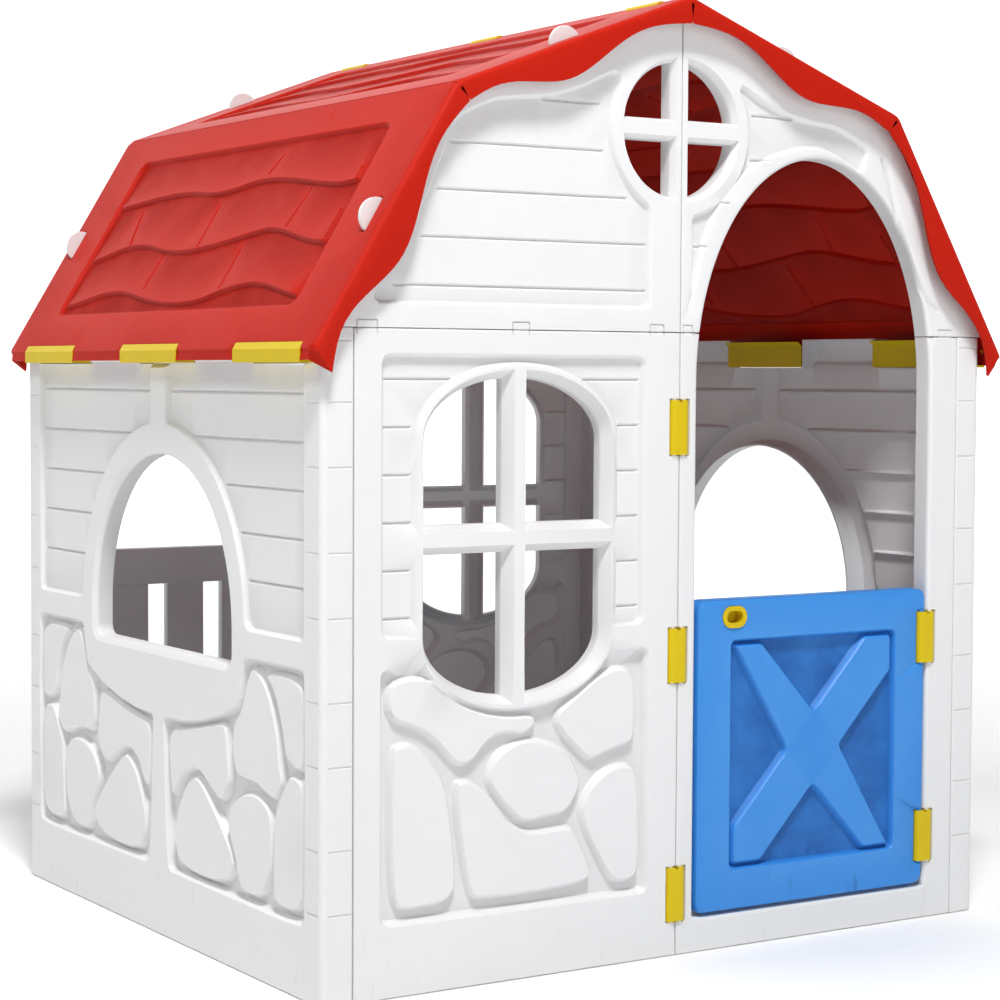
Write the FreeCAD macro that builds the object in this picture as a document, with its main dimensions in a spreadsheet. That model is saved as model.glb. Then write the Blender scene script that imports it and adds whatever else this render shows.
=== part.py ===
import FreeCAD, Part
import math
import os
import re

# A child's plastic playhouse, in millimetres.  +X is to the right of someone who
# faces the front, +Y runs from the front to the back and +Z is up.  The origin is
# on the ground, in the middle of the house.

os.makedirs("parts", exist_ok=True)
doc = FreeCAD.newDocument("plastic_playhouse")
Vector = FreeCAD.Vector

# ---------------------------------------------------------------- driving sizes
DRIVING_SIZES = (
    ("wall_span", 978, "outside width over the two side walls"),
    ("house_depth", 862, "outside depth over the front and back walls"),
    ("wall_rise", 757, "height of the walls, where the gables stand on them"),
    ("column_return", 40, "how far a side wall's corner column wraps round the front"),
    ("corner_round", 9, "radius of the house's four upright corners"),
    ("panel_depth", 26, "depth of every moulded wall panel, edge flanges included"),
    ("skin", 3, "thickness of the moulded skin and its flanges"),
    ("panel_gap", 1, "gap between two panels that meet"),
    ("side_arch_radius", 200, "radius of the arched opening in a side wall"),
    ("side_arch_sill", 360, "height of the flat sill of that opening"),
    ("side_arch_spring", 404, "height where its arch begins"),
    ("window_half", 121, "half the width of the window"),
    ("window_end_rise", 72, "rise of the window's elliptical ends"),
    ("window_sill", 333, "height of the bottom of the window"),
    ("window_head", 702, "height of the top of the window"),
    ("window_offset", 229, "distance of the window's middle from the fold"),
    ("window_bar", 34, "width of the window's cross bars"),
    ("window_bar_height", 517, "height of the middle of the level bar"),
    ("doorway_jamb", 27, "distance of the doorway's inner side from the fold"),
    ("doorway_width", 375, "clear width of the doorway"),
    ("doorway_sill", 42, "height of the doorway's sill"),
    ("doorway_spring", 700, "height where the doorway's arch begins"),
    ("doorway_arch_rise", 275, "rise of the doorway's elliptical arch"),
    ("round_window_radius", 81, "radius of the round window in the gable"),
    ("round_window_height", 999, "height of its middle"),
    ("round_window_bar", 26, "width of its cross bars"),
    ("eave_overhang", 21, "how far the roof's eave stands out past a side wall"),
    ("eave_below_joint", 24, "drop of the eave's upper edge below the wall tops"),
    ("eave_lip", 12, "height of the upright lip along the eave"),
    ("knee_inset", 161, "distance of the roof's knee inside the side wall's face"),
    ("knee_rise", 278, "height of the roof's knee above the wall tops"),
    ("ridge_rise", 400, "height of the ridge above the wall tops"),
    ("verge_overhang", 19, "how far the roof stands out past the front and the back"),
    ("roof_skin", 3, "thickness of the roof's moulded skin"),
    ("roof_seam", 1.5, "gap between two roof panels that meet"),
    ("gable_clearance", 1.5, "gap between a gable's edge and the roof's underside"),
    ("tab_radius", 22, "radius of the round-topped tabs that locate the roof"),
    ("tab_sink", 6, "depth of a tab's round middle under the roof's surface"),
    ("tab_thickness", 5, "thickness of those tabs"),
    ("tab_clearance", 1.5, "gap round a tab in its slot"),
    ("snap_tab_width", 24, "width of the tabs that lock a gable to the wall below"),
    ("snap_tab_rise", 11, "height of those tabs"),
    ("link_width", 27, "width of a hinge link, over its two barrels"),
    ("link_height", 66, "height of a hinge link"),
    ("link_vee", 5, "width of the notch in the top of a hinge link"),
    ("link_proud", 2.5, "how far a hinge link stands out of the wall"),
    ("rod_radius", 4, "radius of the moulded rods that the links snap over"),
    ("rod_clearance", 0.08, "running clearance between a rod and its link"),
    ("link_notch_clearance", 1.2, "gap round a link in the panels' notches"),
    ("link_low", 75, "height of the middle of the lowest links of a fold"),
    ("link_middle", 367, "height of the middle of the middle links of a fold"),
    ("link_high", 643, "height of the middle of the top links of a fold"),
    ("leaf_gap", 3.5, "gap round the door in its doorway"),
    ("door_height", 386, "height of the half door"),
    ("door_depth", 22, "depth of the half door"),
    ("door_proud", 1, "how far the door stands out of the wall"),
    ("door_round", 14, "radius of the door's corners"),
    ("door_margin", 52, "width of the flat border round the door's sunk panel"),
    ("door_panel_sink", 7, "depth of the door's sunk panel"),
    ("door_cross_width", 62, "width of the two bars of the door's cross"),
    ("door_link_low", 108, "height of the middle of the door's lower link"),
    ("door_link_high", 368, "height of the middle of the door's upper link"),
    ("cup_width", 37, "width of the finger cup's rim"),
    ("cup_height", 27, "height of the finger cup's rim"),
    ("cup_inset", 55, "distance of the cup's middle from the door's free edge"),
    ("cup_drop", 22, "distance of the cup's middle below the door's top"),
    ("cup_rim", 4, "width of the cup's rim"),
    ("cup_proud", 1.5, "how far the cup's rim stands out of the door"),
    ("fence_top", 455, "height of the top of the picket fence"),
    ("fence_rail", 52, "height of each of the fence's two rails"),
    ("fence_depth", 20, "depth of the fence's rails"),
    ("fence_pickets", 4, "number of upright pickets"),
    ("picket_width", 58, "width of one picket"),
    ("picket_depth", 14, "depth of one picket"),
    ("clip_length", 165, "length of an eave clip"),
    ("clip_front_inset", 13.5, "distance of the first clip's end behind the front face"),
    ("clip_back_inset", 43.5, "distance of the last clip's end from the back face"),
    ("clip_skin", 3, "thickness of the clip's web and inner jaw"),
    ("clip_lap", 8, "height that a clip's outer jaw laps up the roof"),
    ("clip_jaw", 1.5, "thickness of the outer jaw, which lies flush in the roof"),
    ("clip_gap", 0.5, "gap round a clip in the roof and the wall"),
    ("clip_bracket", 36, "height of the clip's inner jaw"),
    ("clip_flare", 6, "how far the inner jaw's top leans into the house"),
    ("ridge_link_inset", 69, "distance of an end ridge link's middle from the house's face"),
    ("ridge_rod_hold", 5, "how far a ridge rod runs on under the roof past its notch"),
)

sheet = doc.addObject("Spreadsheet::Sheet", "sizes")
for row, (alias, value, meaning) in enumerate(DRIVING_SIZES, start=1):
    sheet.set("A%d" % row, alias)
    sheet.set("B%d" % row, str(value))
    sheet.set("C%d" % row, meaning)
    sheet.setAlias("B%d" % row, alias)
doc.recompute()

ALIASES = re.compile(r"\b(%s)\b" % "|".join(name for name, _, _ in DRIVING_SIZES))
FRONT_FACE = "(-house_depth / 2)"
PANEL_HALF = "(wall_span / 2 - column_return)"
ROD_OFFSET = "(link_width / 4)"
ROD_DEPTH = "(link_width / 4 - link_proud)"
CLIP_MIDDLES = ("(-house_depth / 2 + clip_front_inset + clip_length / 2)",
                "((clip_front_inset - clip_back_inset) / 2)",
                "(house_depth / 2 - clip_back_inset - clip_length / 2)")


def value_of(alias):
    """The number that the sheet holds for a driving size."""
    return float(sheet.get(alias))


def bind(item, prop, text):
    """Bind one property to an expression written with the sheet's aliases."""
    item.setExpression(prop, ALIASES.sub(r"sizes.\1", text))


def move(item, x, y, z):
    """Bind an object's position to three expressions."""
    for axis, text in zip("xyz", (x, y, z)):
        bind(item, "Placement.Base.%s" % axis, text)
    return item


# ------------------------------------------------------------- building blocks
def box(name, x, y, z):
    """A box; each axis is given as (start, length)."""
    item = doc.addObject("Part::Box", name)
    for prop, span in (("Length", x), ("Width", y), ("Height", z)):
        bind(item, prop, span[1])
    return move(item, x[0], y[0], z[0])


def upright_rod(name, radius, x, y, z):
    """A cylinder that stands up; z is given as (start, length)."""
    item = doc.addObject("Part::Cylinder", name)
    bind(item, "Radius", radius)
    bind(item, "Height", z[1])
    return move(item, x, y, z[0])


def disc_through(name, radius, x, z, axis, start, length):
    """A cylinder that lies along X or Y."""
    item = doc.addObject("Part::Cylinder", name)
    turn = {"X": (Vector(0, 1, 0), 90), "Y": (Vector(1, 0, 0), -90)}[axis]
    item.Placement = FreeCAD.Placement(Vector(), FreeCAD.Rotation(*turn))
    bind(item, "Radius", radius)
    bind(item, "Height", length)
    if axis == "X":
        return move(item, start, x, z)
    return move(item, x, start, z)


def fuse(name, items):
    """Join objects into one; a single object stays as it is."""
    if len(items) == 1:
        return items[0]
    item = doc.addObject("Part::MultiFuse", name)
    item.Shapes = items
    item.Refine = True
    return item


def cut(name, base, tool):
    item = doc.addObject("Part::Cut", name)
    item.Base = base
    item.Tool = tool
    item.Refine = True
    return item


def flat_faces(shape, normal):
    """The names of a shape's flat faces that look along one direction."""
    found = []
    for number, face in enumerate(shape.Faces, start=1):
        if isinstance(face.Surface, Part.Plane) and (face.normalAt(0, 0) - normal).Length < 1e-6:
            found.append(("Face%d" % number, face))
    return found


def hollow(name, solid, open_names):
    """A moulded tray: the solid's skin, open at the named faces."""
    item = doc.addObject("Part::Thickness", name)
    item.Faces = (solid, open_names)
    item.Join = 2
    bind(item, "Value", "-skin")
    return item


def finish(name, item, turned=False):
    """Give the last object of a sub-part its Label; turned faces it to the back."""
    item.Label = name
    if turned:
        item.Placement = FreeCAD.Placement(Vector(), FreeCAD.Rotation(Vector(0, 0, 1), 180))
    sub_parts.append(item)
    return item


sub_parts = []


# ------------------------------------------------------------------ hinge links
def link_stations(kind):
    """The link heights on a fold or on a doorway's outer jamb."""
    if kind == "fold":
        return ("link_low", "link_middle", "link_high")
    return ("door_link_low", "door_link_high")


def link_notch(name, axis_x, height, side, grown="0"):
    """The notch that half a link needs in a panel; side is -1 or 1 from the meeting line.

    The panel's skin lines the notch, so the panel's hollow leaves out a grown notch.
    """
    reach = "(link_width / 2 + link_notch_clearance + %s)" % grown
    start = "%s - %s" % (axis_x, reach) if side < 0 else axis_x
    return box(name, (start, reach),
               (FRONT_FACE + " - panel_depth", "3 * panel_depth"),
               ("%s - link_height / 2 - link_notch_clearance - %s" % (height, grown),
                "link_height + 2 * link_notch_clearance + 2 * %s" % grown))


def link_rod(name, axis_x, height, side):
    """The moulded rod that crosses a notch; its ends run into the panel's flanges."""
    sign = "-" if side < 0 else "+"
    return upright_rod(name, "rod_radius",
                       "%s %s %s" % (axis_x, sign, ROD_OFFSET),
                       "%s + %s" % (FRONT_FACE, ROD_DEPTH),
                       (height + " - link_height / 2 - link_notch_clearance - skin",
                        "link_height + 2 * link_notch_clearance + 2 * skin"))


def hinge_link(name, place, rotation):
    """A yellow link: two barrels side by side, snapped over two rods from outside.

    It is made round its own middle, with its rods in its XZ plane and its outer
    face towards -Y, and place gives the expressions for its position.
    """
    foot = "-link_height / 2"
    barrels = []
    bores = []
    for tag, sign in (("left", "-"), ("right", "")):
        x = sign + ROD_OFFSET
        barrels.append(upright_rod("%s_%s_barrel" % (name, tag), "link_width / 4", x, "0",
                                   (foot, "link_height")))
        bores.append(upright_rod("%s_%s_bore" % (name, tag), "rod_radius + rod_clearance", x, "0",
                                 (foot, "link_height")))
        bores.append(box("%s_%s_mouth" % (name, tag), ("%s - 0.8 * rod_radius" % x, "1.6 * rod_radius"),
                         ("0", "link_width / 2"), (foot, "link_height")))
    bridge = box(name + "_bridge", ("-" + ROD_OFFSET, "2 * " + ROD_OFFSET),
                 ("-link_width / 4", "link_width / 4"), (foot, "link_height"))
    vee = box(name + "_vee", ("-link_vee / 2", "link_vee"), ("-link_width / 2", "link_width"),
              ("link_height / 2 - link_vee / 2", "link_vee"))
    body = fuse(name + "_body", barrels + [bridge])
    link = cut(name, body, fuse(name + "_holes", bores + [vee]))
    finish(name, link)
    link.Placement = FreeCAD.Placement(Vector(), rotation)
    move(link, *place)


def wall_link(name, axis_x, height, turned):
    """A link on the front wall, or turned to the back wall."""
    if turned:
        hinge_link(name, ("-%s" % axis_x, "-(%s + %s)" % (FRONT_FACE, ROD_DEPTH), height),
                   FreeCAD.Rotation(Vector(0, 0, 1), 180))
    else:
        hinge_link(name, (axis_x, "%s + %s" % (FRONT_FACE, ROD_DEPTH), height), FreeCAD.Rotation())


# ------------------------------------------------------------------- side walls
def side_wall(name, mirrored):
    """A side wall with its two corner columns and the wide arched opening."""
    plate = box(name + "_plate", ("-wall_span / 2", "panel_depth"),
                (FRONT_FACE, "house_depth"), ("0", "wall_rise"))
    columns = []
    for tag, start in (("front", FRONT_FACE), ("back", "house_depth / 2 - panel_depth")):
        columns.append(box("%s_%s_column" % (name, tag), ("-wall_span / 2", "column_return"),
                           (start, "panel_depth"), ("0", "wall_rise")))
    block = fuse(name + "_block", [plate] + columns)
    doc.recompute()
    corners = []
    for number, edge in enumerate(block.Shape.Edges, start=1):
        middle = edge.CenterOfMass
        outside = abs(middle.x + value_of("wall_span") / 2) < 1e-6
        upright = abs(edge.BoundBox.ZLength - value_of("wall_rise")) < 1e-6
        if outside and upright:
            corners.append((number, value_of("corner_round"), value_of("corner_round")))
    rounded = doc.addObject("Part::Fillet", name + "_rounded")
    rounded.Base = block
    rounded.Edges = corners
    arch = disc_through(name + "_arch", "side_arch_radius", "0", "side_arch_spring", "X",
                        "-wall_span / 2 - panel_depth", "3 * panel_depth")
    below = box(name + "_arch_sides", ("-wall_span / 2 - panel_depth", "3 * panel_depth"),
                ("-side_arch_radius", "2 * side_arch_radius"),
                ("side_arch_spring - side_arch_radius", "side_arch_radius"))
    sill = box(name + "_sill", ("-wall_span / 2 - panel_depth", "3 * panel_depth"),
               ("-side_arch_radius", "2 * side_arch_radius"),
               ("side_arch_spring - side_arch_radius - 1",
                "side_arch_sill - side_arch_spring + side_arch_radius + 1"))
    opening = cut(name + "_opening", fuse(name + "_arch_all", [arch, below]), sill)
    clips = [box("%s_clip_slot_%d" % (name, number),
                 ("-wall_span / 2 - panel_depth", "3 * panel_depth"),
                 ("%s - clip_length / 2 - clip_gap" % middle, "clip_length + 2 * clip_gap"),
                 ("wall_rise - eave_below_joint - eave_lip - clip_skin - clip_gap", "wall_rise"))
             for number, middle in enumerate(CLIP_MIDDLES, start=1)]
    solid = cut(name + "_solid", rounded, fuse(name + "_holes", [opening] + clips))
    doc.recompute()
    inner_x = -value_of("wall_span") / 2 + value_of("panel_depth")
    open_names = [found for found, face in flat_faces(solid.Shape, Vector(1, 0, 0))
                  if abs(face.CenterOfMass.x - inner_x) < 1e-6]
    for normal in (Vector(0, 1, 0), Vector(0, -1, 0)):
        open_names += [found for found, face in flat_faces(solid.Shape, normal)
                       if face.CenterOfMass.x > inner_x and face.Area > 1e4]
    shell = hollow(name + "_shell", solid, open_names)
    if mirrored:
        item = doc.addObject("Part::Mirroring", name)
        item.Source = shell
        item.Normal = Vector(1, 0, 0)
        return finish(name, item)
    return finish(name, shell)


# --------------------------------------------------------- front and back walls
def snap_tabs(name, stations, gap):
    """Tabs that stand up from a wall into the gable; gap widens them for the pockets."""
    return [box("%s_%d" % (name, number),
                ("%s - snap_tab_width / 2 - %s" % (x, gap), "snap_tab_width + 2 * %s" % gap),
                (FRONT_FACE + " + skin + panel_gap - %s" % gap, "skin + 2 * %s" % gap),
                ("wall_rise - 2 * skin", "snap_tab_rise + 2 * skin + %s" % gap))
            for number, x in enumerate(stations, start=1)]


WINDOW_WALL_TABS = ("(-%s + link_width)" % PANEL_HALF,
                    "(-window_offset - window_half + snap_tab_width)",
                    "-window_offset",
                    "(-window_offset + window_half - snap_tab_width)")
DOOR_WALL_TABS = ("(%s - snap_tab_width / 2 - 2 * skin)" % PANEL_HALF,)


def ellipse_through(name, half_width, rise, tall, x, z):
    """An elliptical cylinder through a front wall; tall says which radius is the larger."""
    outline = doc.addObject("Part::Ellipse", name + "_outline")
    if tall:
        spin = FreeCAD.Rotation(Vector(0, 0, 1), Vector(1, 0, 0), Vector(0, 1, 0), "XYZ")
    else:
        spin = FreeCAD.Rotation(Vector(1, 0, 0), 90)
    outline.Placement = FreeCAD.Placement(Vector(), spin)
    bind(outline, "MajorRadius", rise if tall else half_width)
    bind(outline, "MinorRadius", half_width if tall else rise)
    move(outline, x, FRONT_FACE + " - panel_depth", z)
    body = doc.addObject("Part::Extrusion", name)
    body.Base = outline
    body.DirMode = "Custom"
    body.Dir = Vector(0, 1, 0)
    body.Solid = True
    bind(body, "LengthFwd", "3 * panel_depth")
    return body


def window_wall_spaces(name, grown):
    """The window's four panes and the link notches, grown by the skin for the wall's hollow."""
    start, length = FRONT_FACE + " - panel_depth", "3 * panel_depth"
    wide, rise = "window_half + %s" % grown, "window_end_rise + %s" % grown
    head = ellipse_through(name + "_head", wide, rise, False, "-window_offset",
                           "window_head - window_end_rise")
    foot = ellipse_through(name + "_foot", wide, rise, False, "-window_offset",
                           "window_sill + window_end_rise")
    middle = box(name + "_middle", ("-window_offset - window_half - %s" % grown, "2 * (%s)" % wide),
                 (start, length),
                 ("window_sill + window_end_rise", "window_head - window_sill - 2 * window_end_rise"))
    bar = "(window_bar - 2 * %s)" % grown
    upright = box(name + "_upright_bar", ("-window_offset - %s / 2" % bar, bar), (start, length),
                  ("window_sill - 2 * skin", "window_head - window_sill + 4 * skin"))
    level = box(name + "_level_bar", ("-window_offset - window_half - 2 * skin", "2 * window_half + 4 * skin"),
                (start, length), ("window_bar_height - %s / 2" % bar, bar))
    panes = cut(name + "_panes", fuse(name + "_opening", [head, foot, middle]),
                fuse(name + "_bars", [upright, level]))
    notches = [link_notch("%s_notch_%d" % (name, number), "0", height, -1, grown)
               for number, height in enumerate(link_stations("fold"), start=1)]
    return fuse(name, [panes] + notches)


def window_wall(name, turned):
    """The wall half with the long window, left of the fold as one faces it."""
    slab = box(name + "_slab", ("-%s + panel_gap" % PANEL_HALF, PANEL_HALF + " - 1.5 * panel_gap"),
               (FRONT_FACE, "panel_depth"), ("0", "wall_rise - panel_gap / 2"))
    solid = cut(name + "_solid", slab, window_wall_spaces(name + "_open", "0"))
    inside = box(name + "_inside",
                 ("-%s + panel_gap + skin" % PANEL_HALF, PANEL_HALF + " - 1.5 * panel_gap - 2 * skin"),
                 (FRONT_FACE + " + skin", "panel_depth"), ("skin", "wall_rise - panel_gap / 2 - 2 * skin"))
    cavity = cut(name + "_cavity", inside, window_wall_spaces(name + "_lined", "skin"))
    finish(name, fuse(name, [cut(name + "_shell", solid, cavity)] + fold_rods(name, -1)
                      + snap_tabs(name + "_tab", WINDOW_WALL_TABS, "0")), turned)


def fold_rods(name, side):
    """The rods along a wall half's edge at the fold."""
    return [link_rod("%s_rod_%d" % (name, number), "0", height, side)
            for number, height in enumerate(link_stations("fold"), start=1)]


def doorway_tool(name, grown="0"):
    """The space of a doorway, up through the gable, grown by the skin for a panel's hollow."""
    sides = box(name + "_sides", ("doorway_jamb - %s" % grown, "doorway_width + 2 * %s" % grown),
                (FRONT_FACE + " - panel_depth", "3 * panel_depth"),
                ("doorway_sill - %s" % grown, "doorway_spring - doorway_sill + %s" % grown))
    body = ellipse_through(name + "_arch", "doorway_width / 2 + %s" % grown,
                           "doorway_arch_rise + %s" % grown, True,
                           "doorway_jamb + doorway_width / 2", "doorway_spring")
    return fuse(name, [sides, body])


OUTER_JAMB = "(doorway_jamb + doorway_width)"


def door_wall_spaces(name, hung, grown):
    """The doorway and the link notches of the wall half with the doorway."""
    spaces = [doorway_tool(name + "_doorway", grown)]
    for number, height in enumerate(link_stations("fold"), start=1):
        spaces.append(link_notch("%s_notch_%d" % (name, number), "0", height, 1, grown))
    for number, height in enumerate(link_stations("door") if hung else (), start=1):
        spaces.append(link_notch("%s_jamb_notch_%d" % (name, number), OUTER_JAMB, height, 1, grown))
    return fuse(name + "_spaces", spaces)


def door_wall(name, hung, turned):
    """The wall half with the doorway, right of the fold as one faces it; hung for a door."""
    slab = box(name + "_slab", ("panel_gap / 2", PANEL_HALF + " - 1.5 * panel_gap"),
               (FRONT_FACE, "panel_depth"), ("0", "wall_rise - panel_gap / 2"))
    solid = cut(name + "_solid", slab, door_wall_spaces(name + "_open", hung, "0"))
    inside = box(name + "_inside", ("panel_gap / 2 + skin", PANEL_HALF + " - 1.5 * panel_gap - 2 * skin"),
                 (FRONT_FACE + " + skin", "panel_depth"), ("skin", "wall_rise - panel_gap / 2 - 2 * skin"))
    cavity = cut(name + "_cavity", inside, door_wall_spaces(name + "_lined", hung, "skin"))
    rods = fold_rods(name, 1)
    for number, height in enumerate(link_stations("door") if hung else (), start=1):
        rods.append(link_rod("%s_jamb_rod_%d" % (name, number), OUTER_JAMB, height, 1))
    finish(name, fuse(name, [cut(name + "_shell", solid, cavity)] + rods
                      + snap_tabs(name + "_tab", DOOR_WALL_TABS, "0")), turned)


# ------------------------------------------------------------ roof line geometry
def roof_line():
    """Outer corners of the right half of the roof: eave, knee and ridge, as (x, z)."""
    half = value_of("wall_span") / 2
    joint = value_of("wall_rise")
    eave = Vector(half + value_of("eave_overhang"), 0, joint - value_of("eave_below_joint"))
    knee = Vector(half - value_of("knee_inset"), 0, joint + value_of("knee_rise"))
    ridge = Vector(0, 0, joint + value_of("ridge_rise"))
    return eave, knee, ridge


def inward(start, end):
    """The unit vector square to a roof slope that points into the house."""
    along = (end - start).normalize()
    return Vector(-along.z, 0, along.x).multiply(-1 if along.x > 0 else 1)


def offset_corners(depth):
    """The roof line's eave, knee and ridge moved into the house by one depth."""
    eave, knee, ridge = roof_line()
    low, high = inward(eave, knee) * depth, inward(knee, ridge) * depth
    low_slope = (knee.z - eave.z) / (eave.x - knee.x)
    high_slope = (ridge.z - knee.z) / (knee.x - ridge.x)
    low_z = eave.z + low.z + (eave.x + low.x) * low_slope
    high_z = knee.z + high.z + (knee.x + high.x) * high_slope
    knee_x = (low_z - high_z) / (low_slope - high_slope)
    return eave + low, Vector(knee_x, 0, low_z - knee_x * low_slope), Vector(0, 0, high_z)


def tab_centres():
    """The middle of the lower and of the upper slope, where the tabs stand."""
    eave, knee, ridge = roof_line()
    return ((eave + knee) / 2, inward(eave, knee)), ((knee + ridge) / 2, inward(knee, ridge))


def plate(points, y, thickness):
    """A flat plate in the XZ plane from its corner points, thick along Y."""
    corners = [Vector(p.x, y, p.z) for p in points]
    return Part.Face(Part.makePolygon(corners + corners[:1])).extrude(Vector(0, thickness, 0))


def feature(name, shape, turned=False, side=1):
    """Wrap a computed shape of the right half as a sub-part; side -1 mirrors it."""
    if side < 0:
        shape = shape.mirror(Vector(), Vector(1, 0, 0))
    item = doc.addObject("Part::Feature", name)
    item.Shape = shape
    finish(name, item, turned)
    return item


# ----------------------------------------------------------------------- gables
def gable_half(name, opening, side, turned):
    """Half a gable: a tray under the roof line with its tabs; side is -1 or 1."""
    front = -value_of("house_depth") / 2
    deep = value_of("panel_depth")
    thick = value_of("skin")
    seam = value_of("panel_gap") / 2
    foot = value_of("wall_rise") + seam
    half = value_of("wall_span") / 2
    _, knee, ridge = offset_corners(value_of("roof_skin") + value_of("gable_clearance"))
    eave_slope = (roof_line()[1].z - roof_line()[0].z) / (roof_line()[0].x - roof_line()[1].x)
    outline = [Vector(seam, 0, foot), Vector(half, 0, foot),
               Vector(half, 0, knee.z - (half - knee.x) * eave_slope), knee,
               Vector(seam, 0, ridge.z - (ridge.z - knee.z) * seam / knee.x)]
    outline = [p for number, p in enumerate(outline) if number != 2 or p.z > foot + 1e-6]
    body = plate(outline, front, deep).cut(opening)
    back = [face for face in body.Faces
            if isinstance(face.Surface, Part.Plane) and abs(face.CenterOfMass.y - front - deep) < 1e-6]
    tray = body.makeThickness(back, -thick, 1e-3, True, False, 0, 0)
    slab_y = front + deep / 2 - value_of("tab_thickness") / 2
    radius, sink = value_of("tab_radius"), value_of("tab_sink")
    reach = math.sqrt(radius ** 2 - sink ** 2)
    stem_depth = value_of("roof_skin") + value_of("gable_clearance") + thick
    for centre, into in tab_centres():
        middle = centre + into * sink
        disc = Part.makeCylinder(radius, value_of("tab_thickness"),
                                 Vector(middle.x, slab_y, middle.z), Vector(0, 1, 0))
        along = Vector(-into.z, 0, into.x)
        stem = plate([centre + along * reach, centre - along * reach,
                      centre - along * reach + into * stem_depth,
                      centre + along * reach + into * stem_depth],
                     slab_y, value_of("tab_thickness"))
        outer = plate([centre + along * radius, centre - along * radius,
                       centre - along * radius - into * radius,
                       centre + along * radius - into * radius],
                      slab_y - 1, value_of("tab_thickness") + 2)
        tray = tray.fuse([disc.common(outer), stem])
    feature(name, tray.removeSplitter(), turned, side)


def round_window_tool():
    """The right half of the round window's four panes."""
    radius = value_of("round_window_radius")
    height = value_of("round_window_height")
    front = -value_of("house_depth") / 2
    deep = value_of("panel_depth")
    bar = value_of("round_window_bar") / 2
    disc = Part.makeCylinder(radius, 3 * deep, Vector(0, front - deep, height), Vector(0, 1, 0))
    level = Part.makeBox(2 * radius, 3 * deep, 2 * bar, Vector(-radius, front - deep, height - bar))
    upright = Part.makeBox(bar + radius, 3 * deep, 2 * radius,
                           Vector(-radius, front - deep, height - radius))
    return disc.cut(level).cut(upright)


def pocket_tool(name, stations):
    """The pockets that a wall's snap tabs enter in the gable above."""
    return fuse(name, snap_tabs(name, stations, "panel_gap / 2"))


# ------------------------------------------------------------------------- roof
FASCIA_WAVE_LOWER = ((-0.03, 34), (0.12, 19), (0.42, 42), (0.80, 17), (1.0, 26))
FASCIA_WAVE_UPPER = ((0.0, 26), (0.15, 21), (0.40, 42), (0.74, 19), (1.0, 31))


def fascia(start, end, start_mitre, end_mitre, wave, y, thickness):
    """The scalloped board at the roof's front or back, hanging under one slope.

    The wave gives the board's depth along the slope, and both of its ends follow
    the mitre lines where the slopes meet.
    """
    low = [(start + start_mitre * depth) * (1 - share) + (end + end_mitre * depth) * share
           for share, depth in wave]
    curve = Part.BSplineCurve()
    curve.interpolate([Vector(p.x, y, p.z) for p in low])
    corners = [Vector(p.x, y, p.z) for p in (low[-1], end, start, low[0])]
    wire = Part.Wire([curve.toShape()] + Part.makePolygon(corners).Edges)
    return Part.Face(wire).extrude(Vector(0, thickness, 0))


def clip_stations():
    """Where the middles of the three eave clips lie, as CLIP_MIDDLES says."""
    half = value_of("clip_length") / 2
    front = -value_of("house_depth") / 2 + value_of("clip_front_inset") + half
    back = value_of("house_depth") / 2 - value_of("clip_back_inset") - half
    return front, (front + back) / 2, back


def ridge_link_stations():
    """Where the middles of the three ridge links lie."""
    reach = value_of("house_depth") / 2 - value_of("ridge_link_inset")
    return -reach, 0, reach


def clip_outline(outer, inner):
    """The outer jaw of an eave clip between two depths under the roof's surface."""
    eave, knee, _ = roof_line()
    along = (knee - eave).normalize()
    lap = value_of("clip_lap") / along.z
    into = inward(eave, knee)
    lip = value_of("eave_lip")
    corner_in = Vector(eave.x - inner, 0, 0)
    corner_in.z = eave.z + into.z * inner + (eave.x + into.x * inner - corner_in.x) * along.z / -along.x
    return [eave - Vector(0, 0, lip), eave, eave + along * lap,
            eave + along * lap + into * inner, corner_in, Vector(eave.x - inner, 0, eave.z - lip)]


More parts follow.
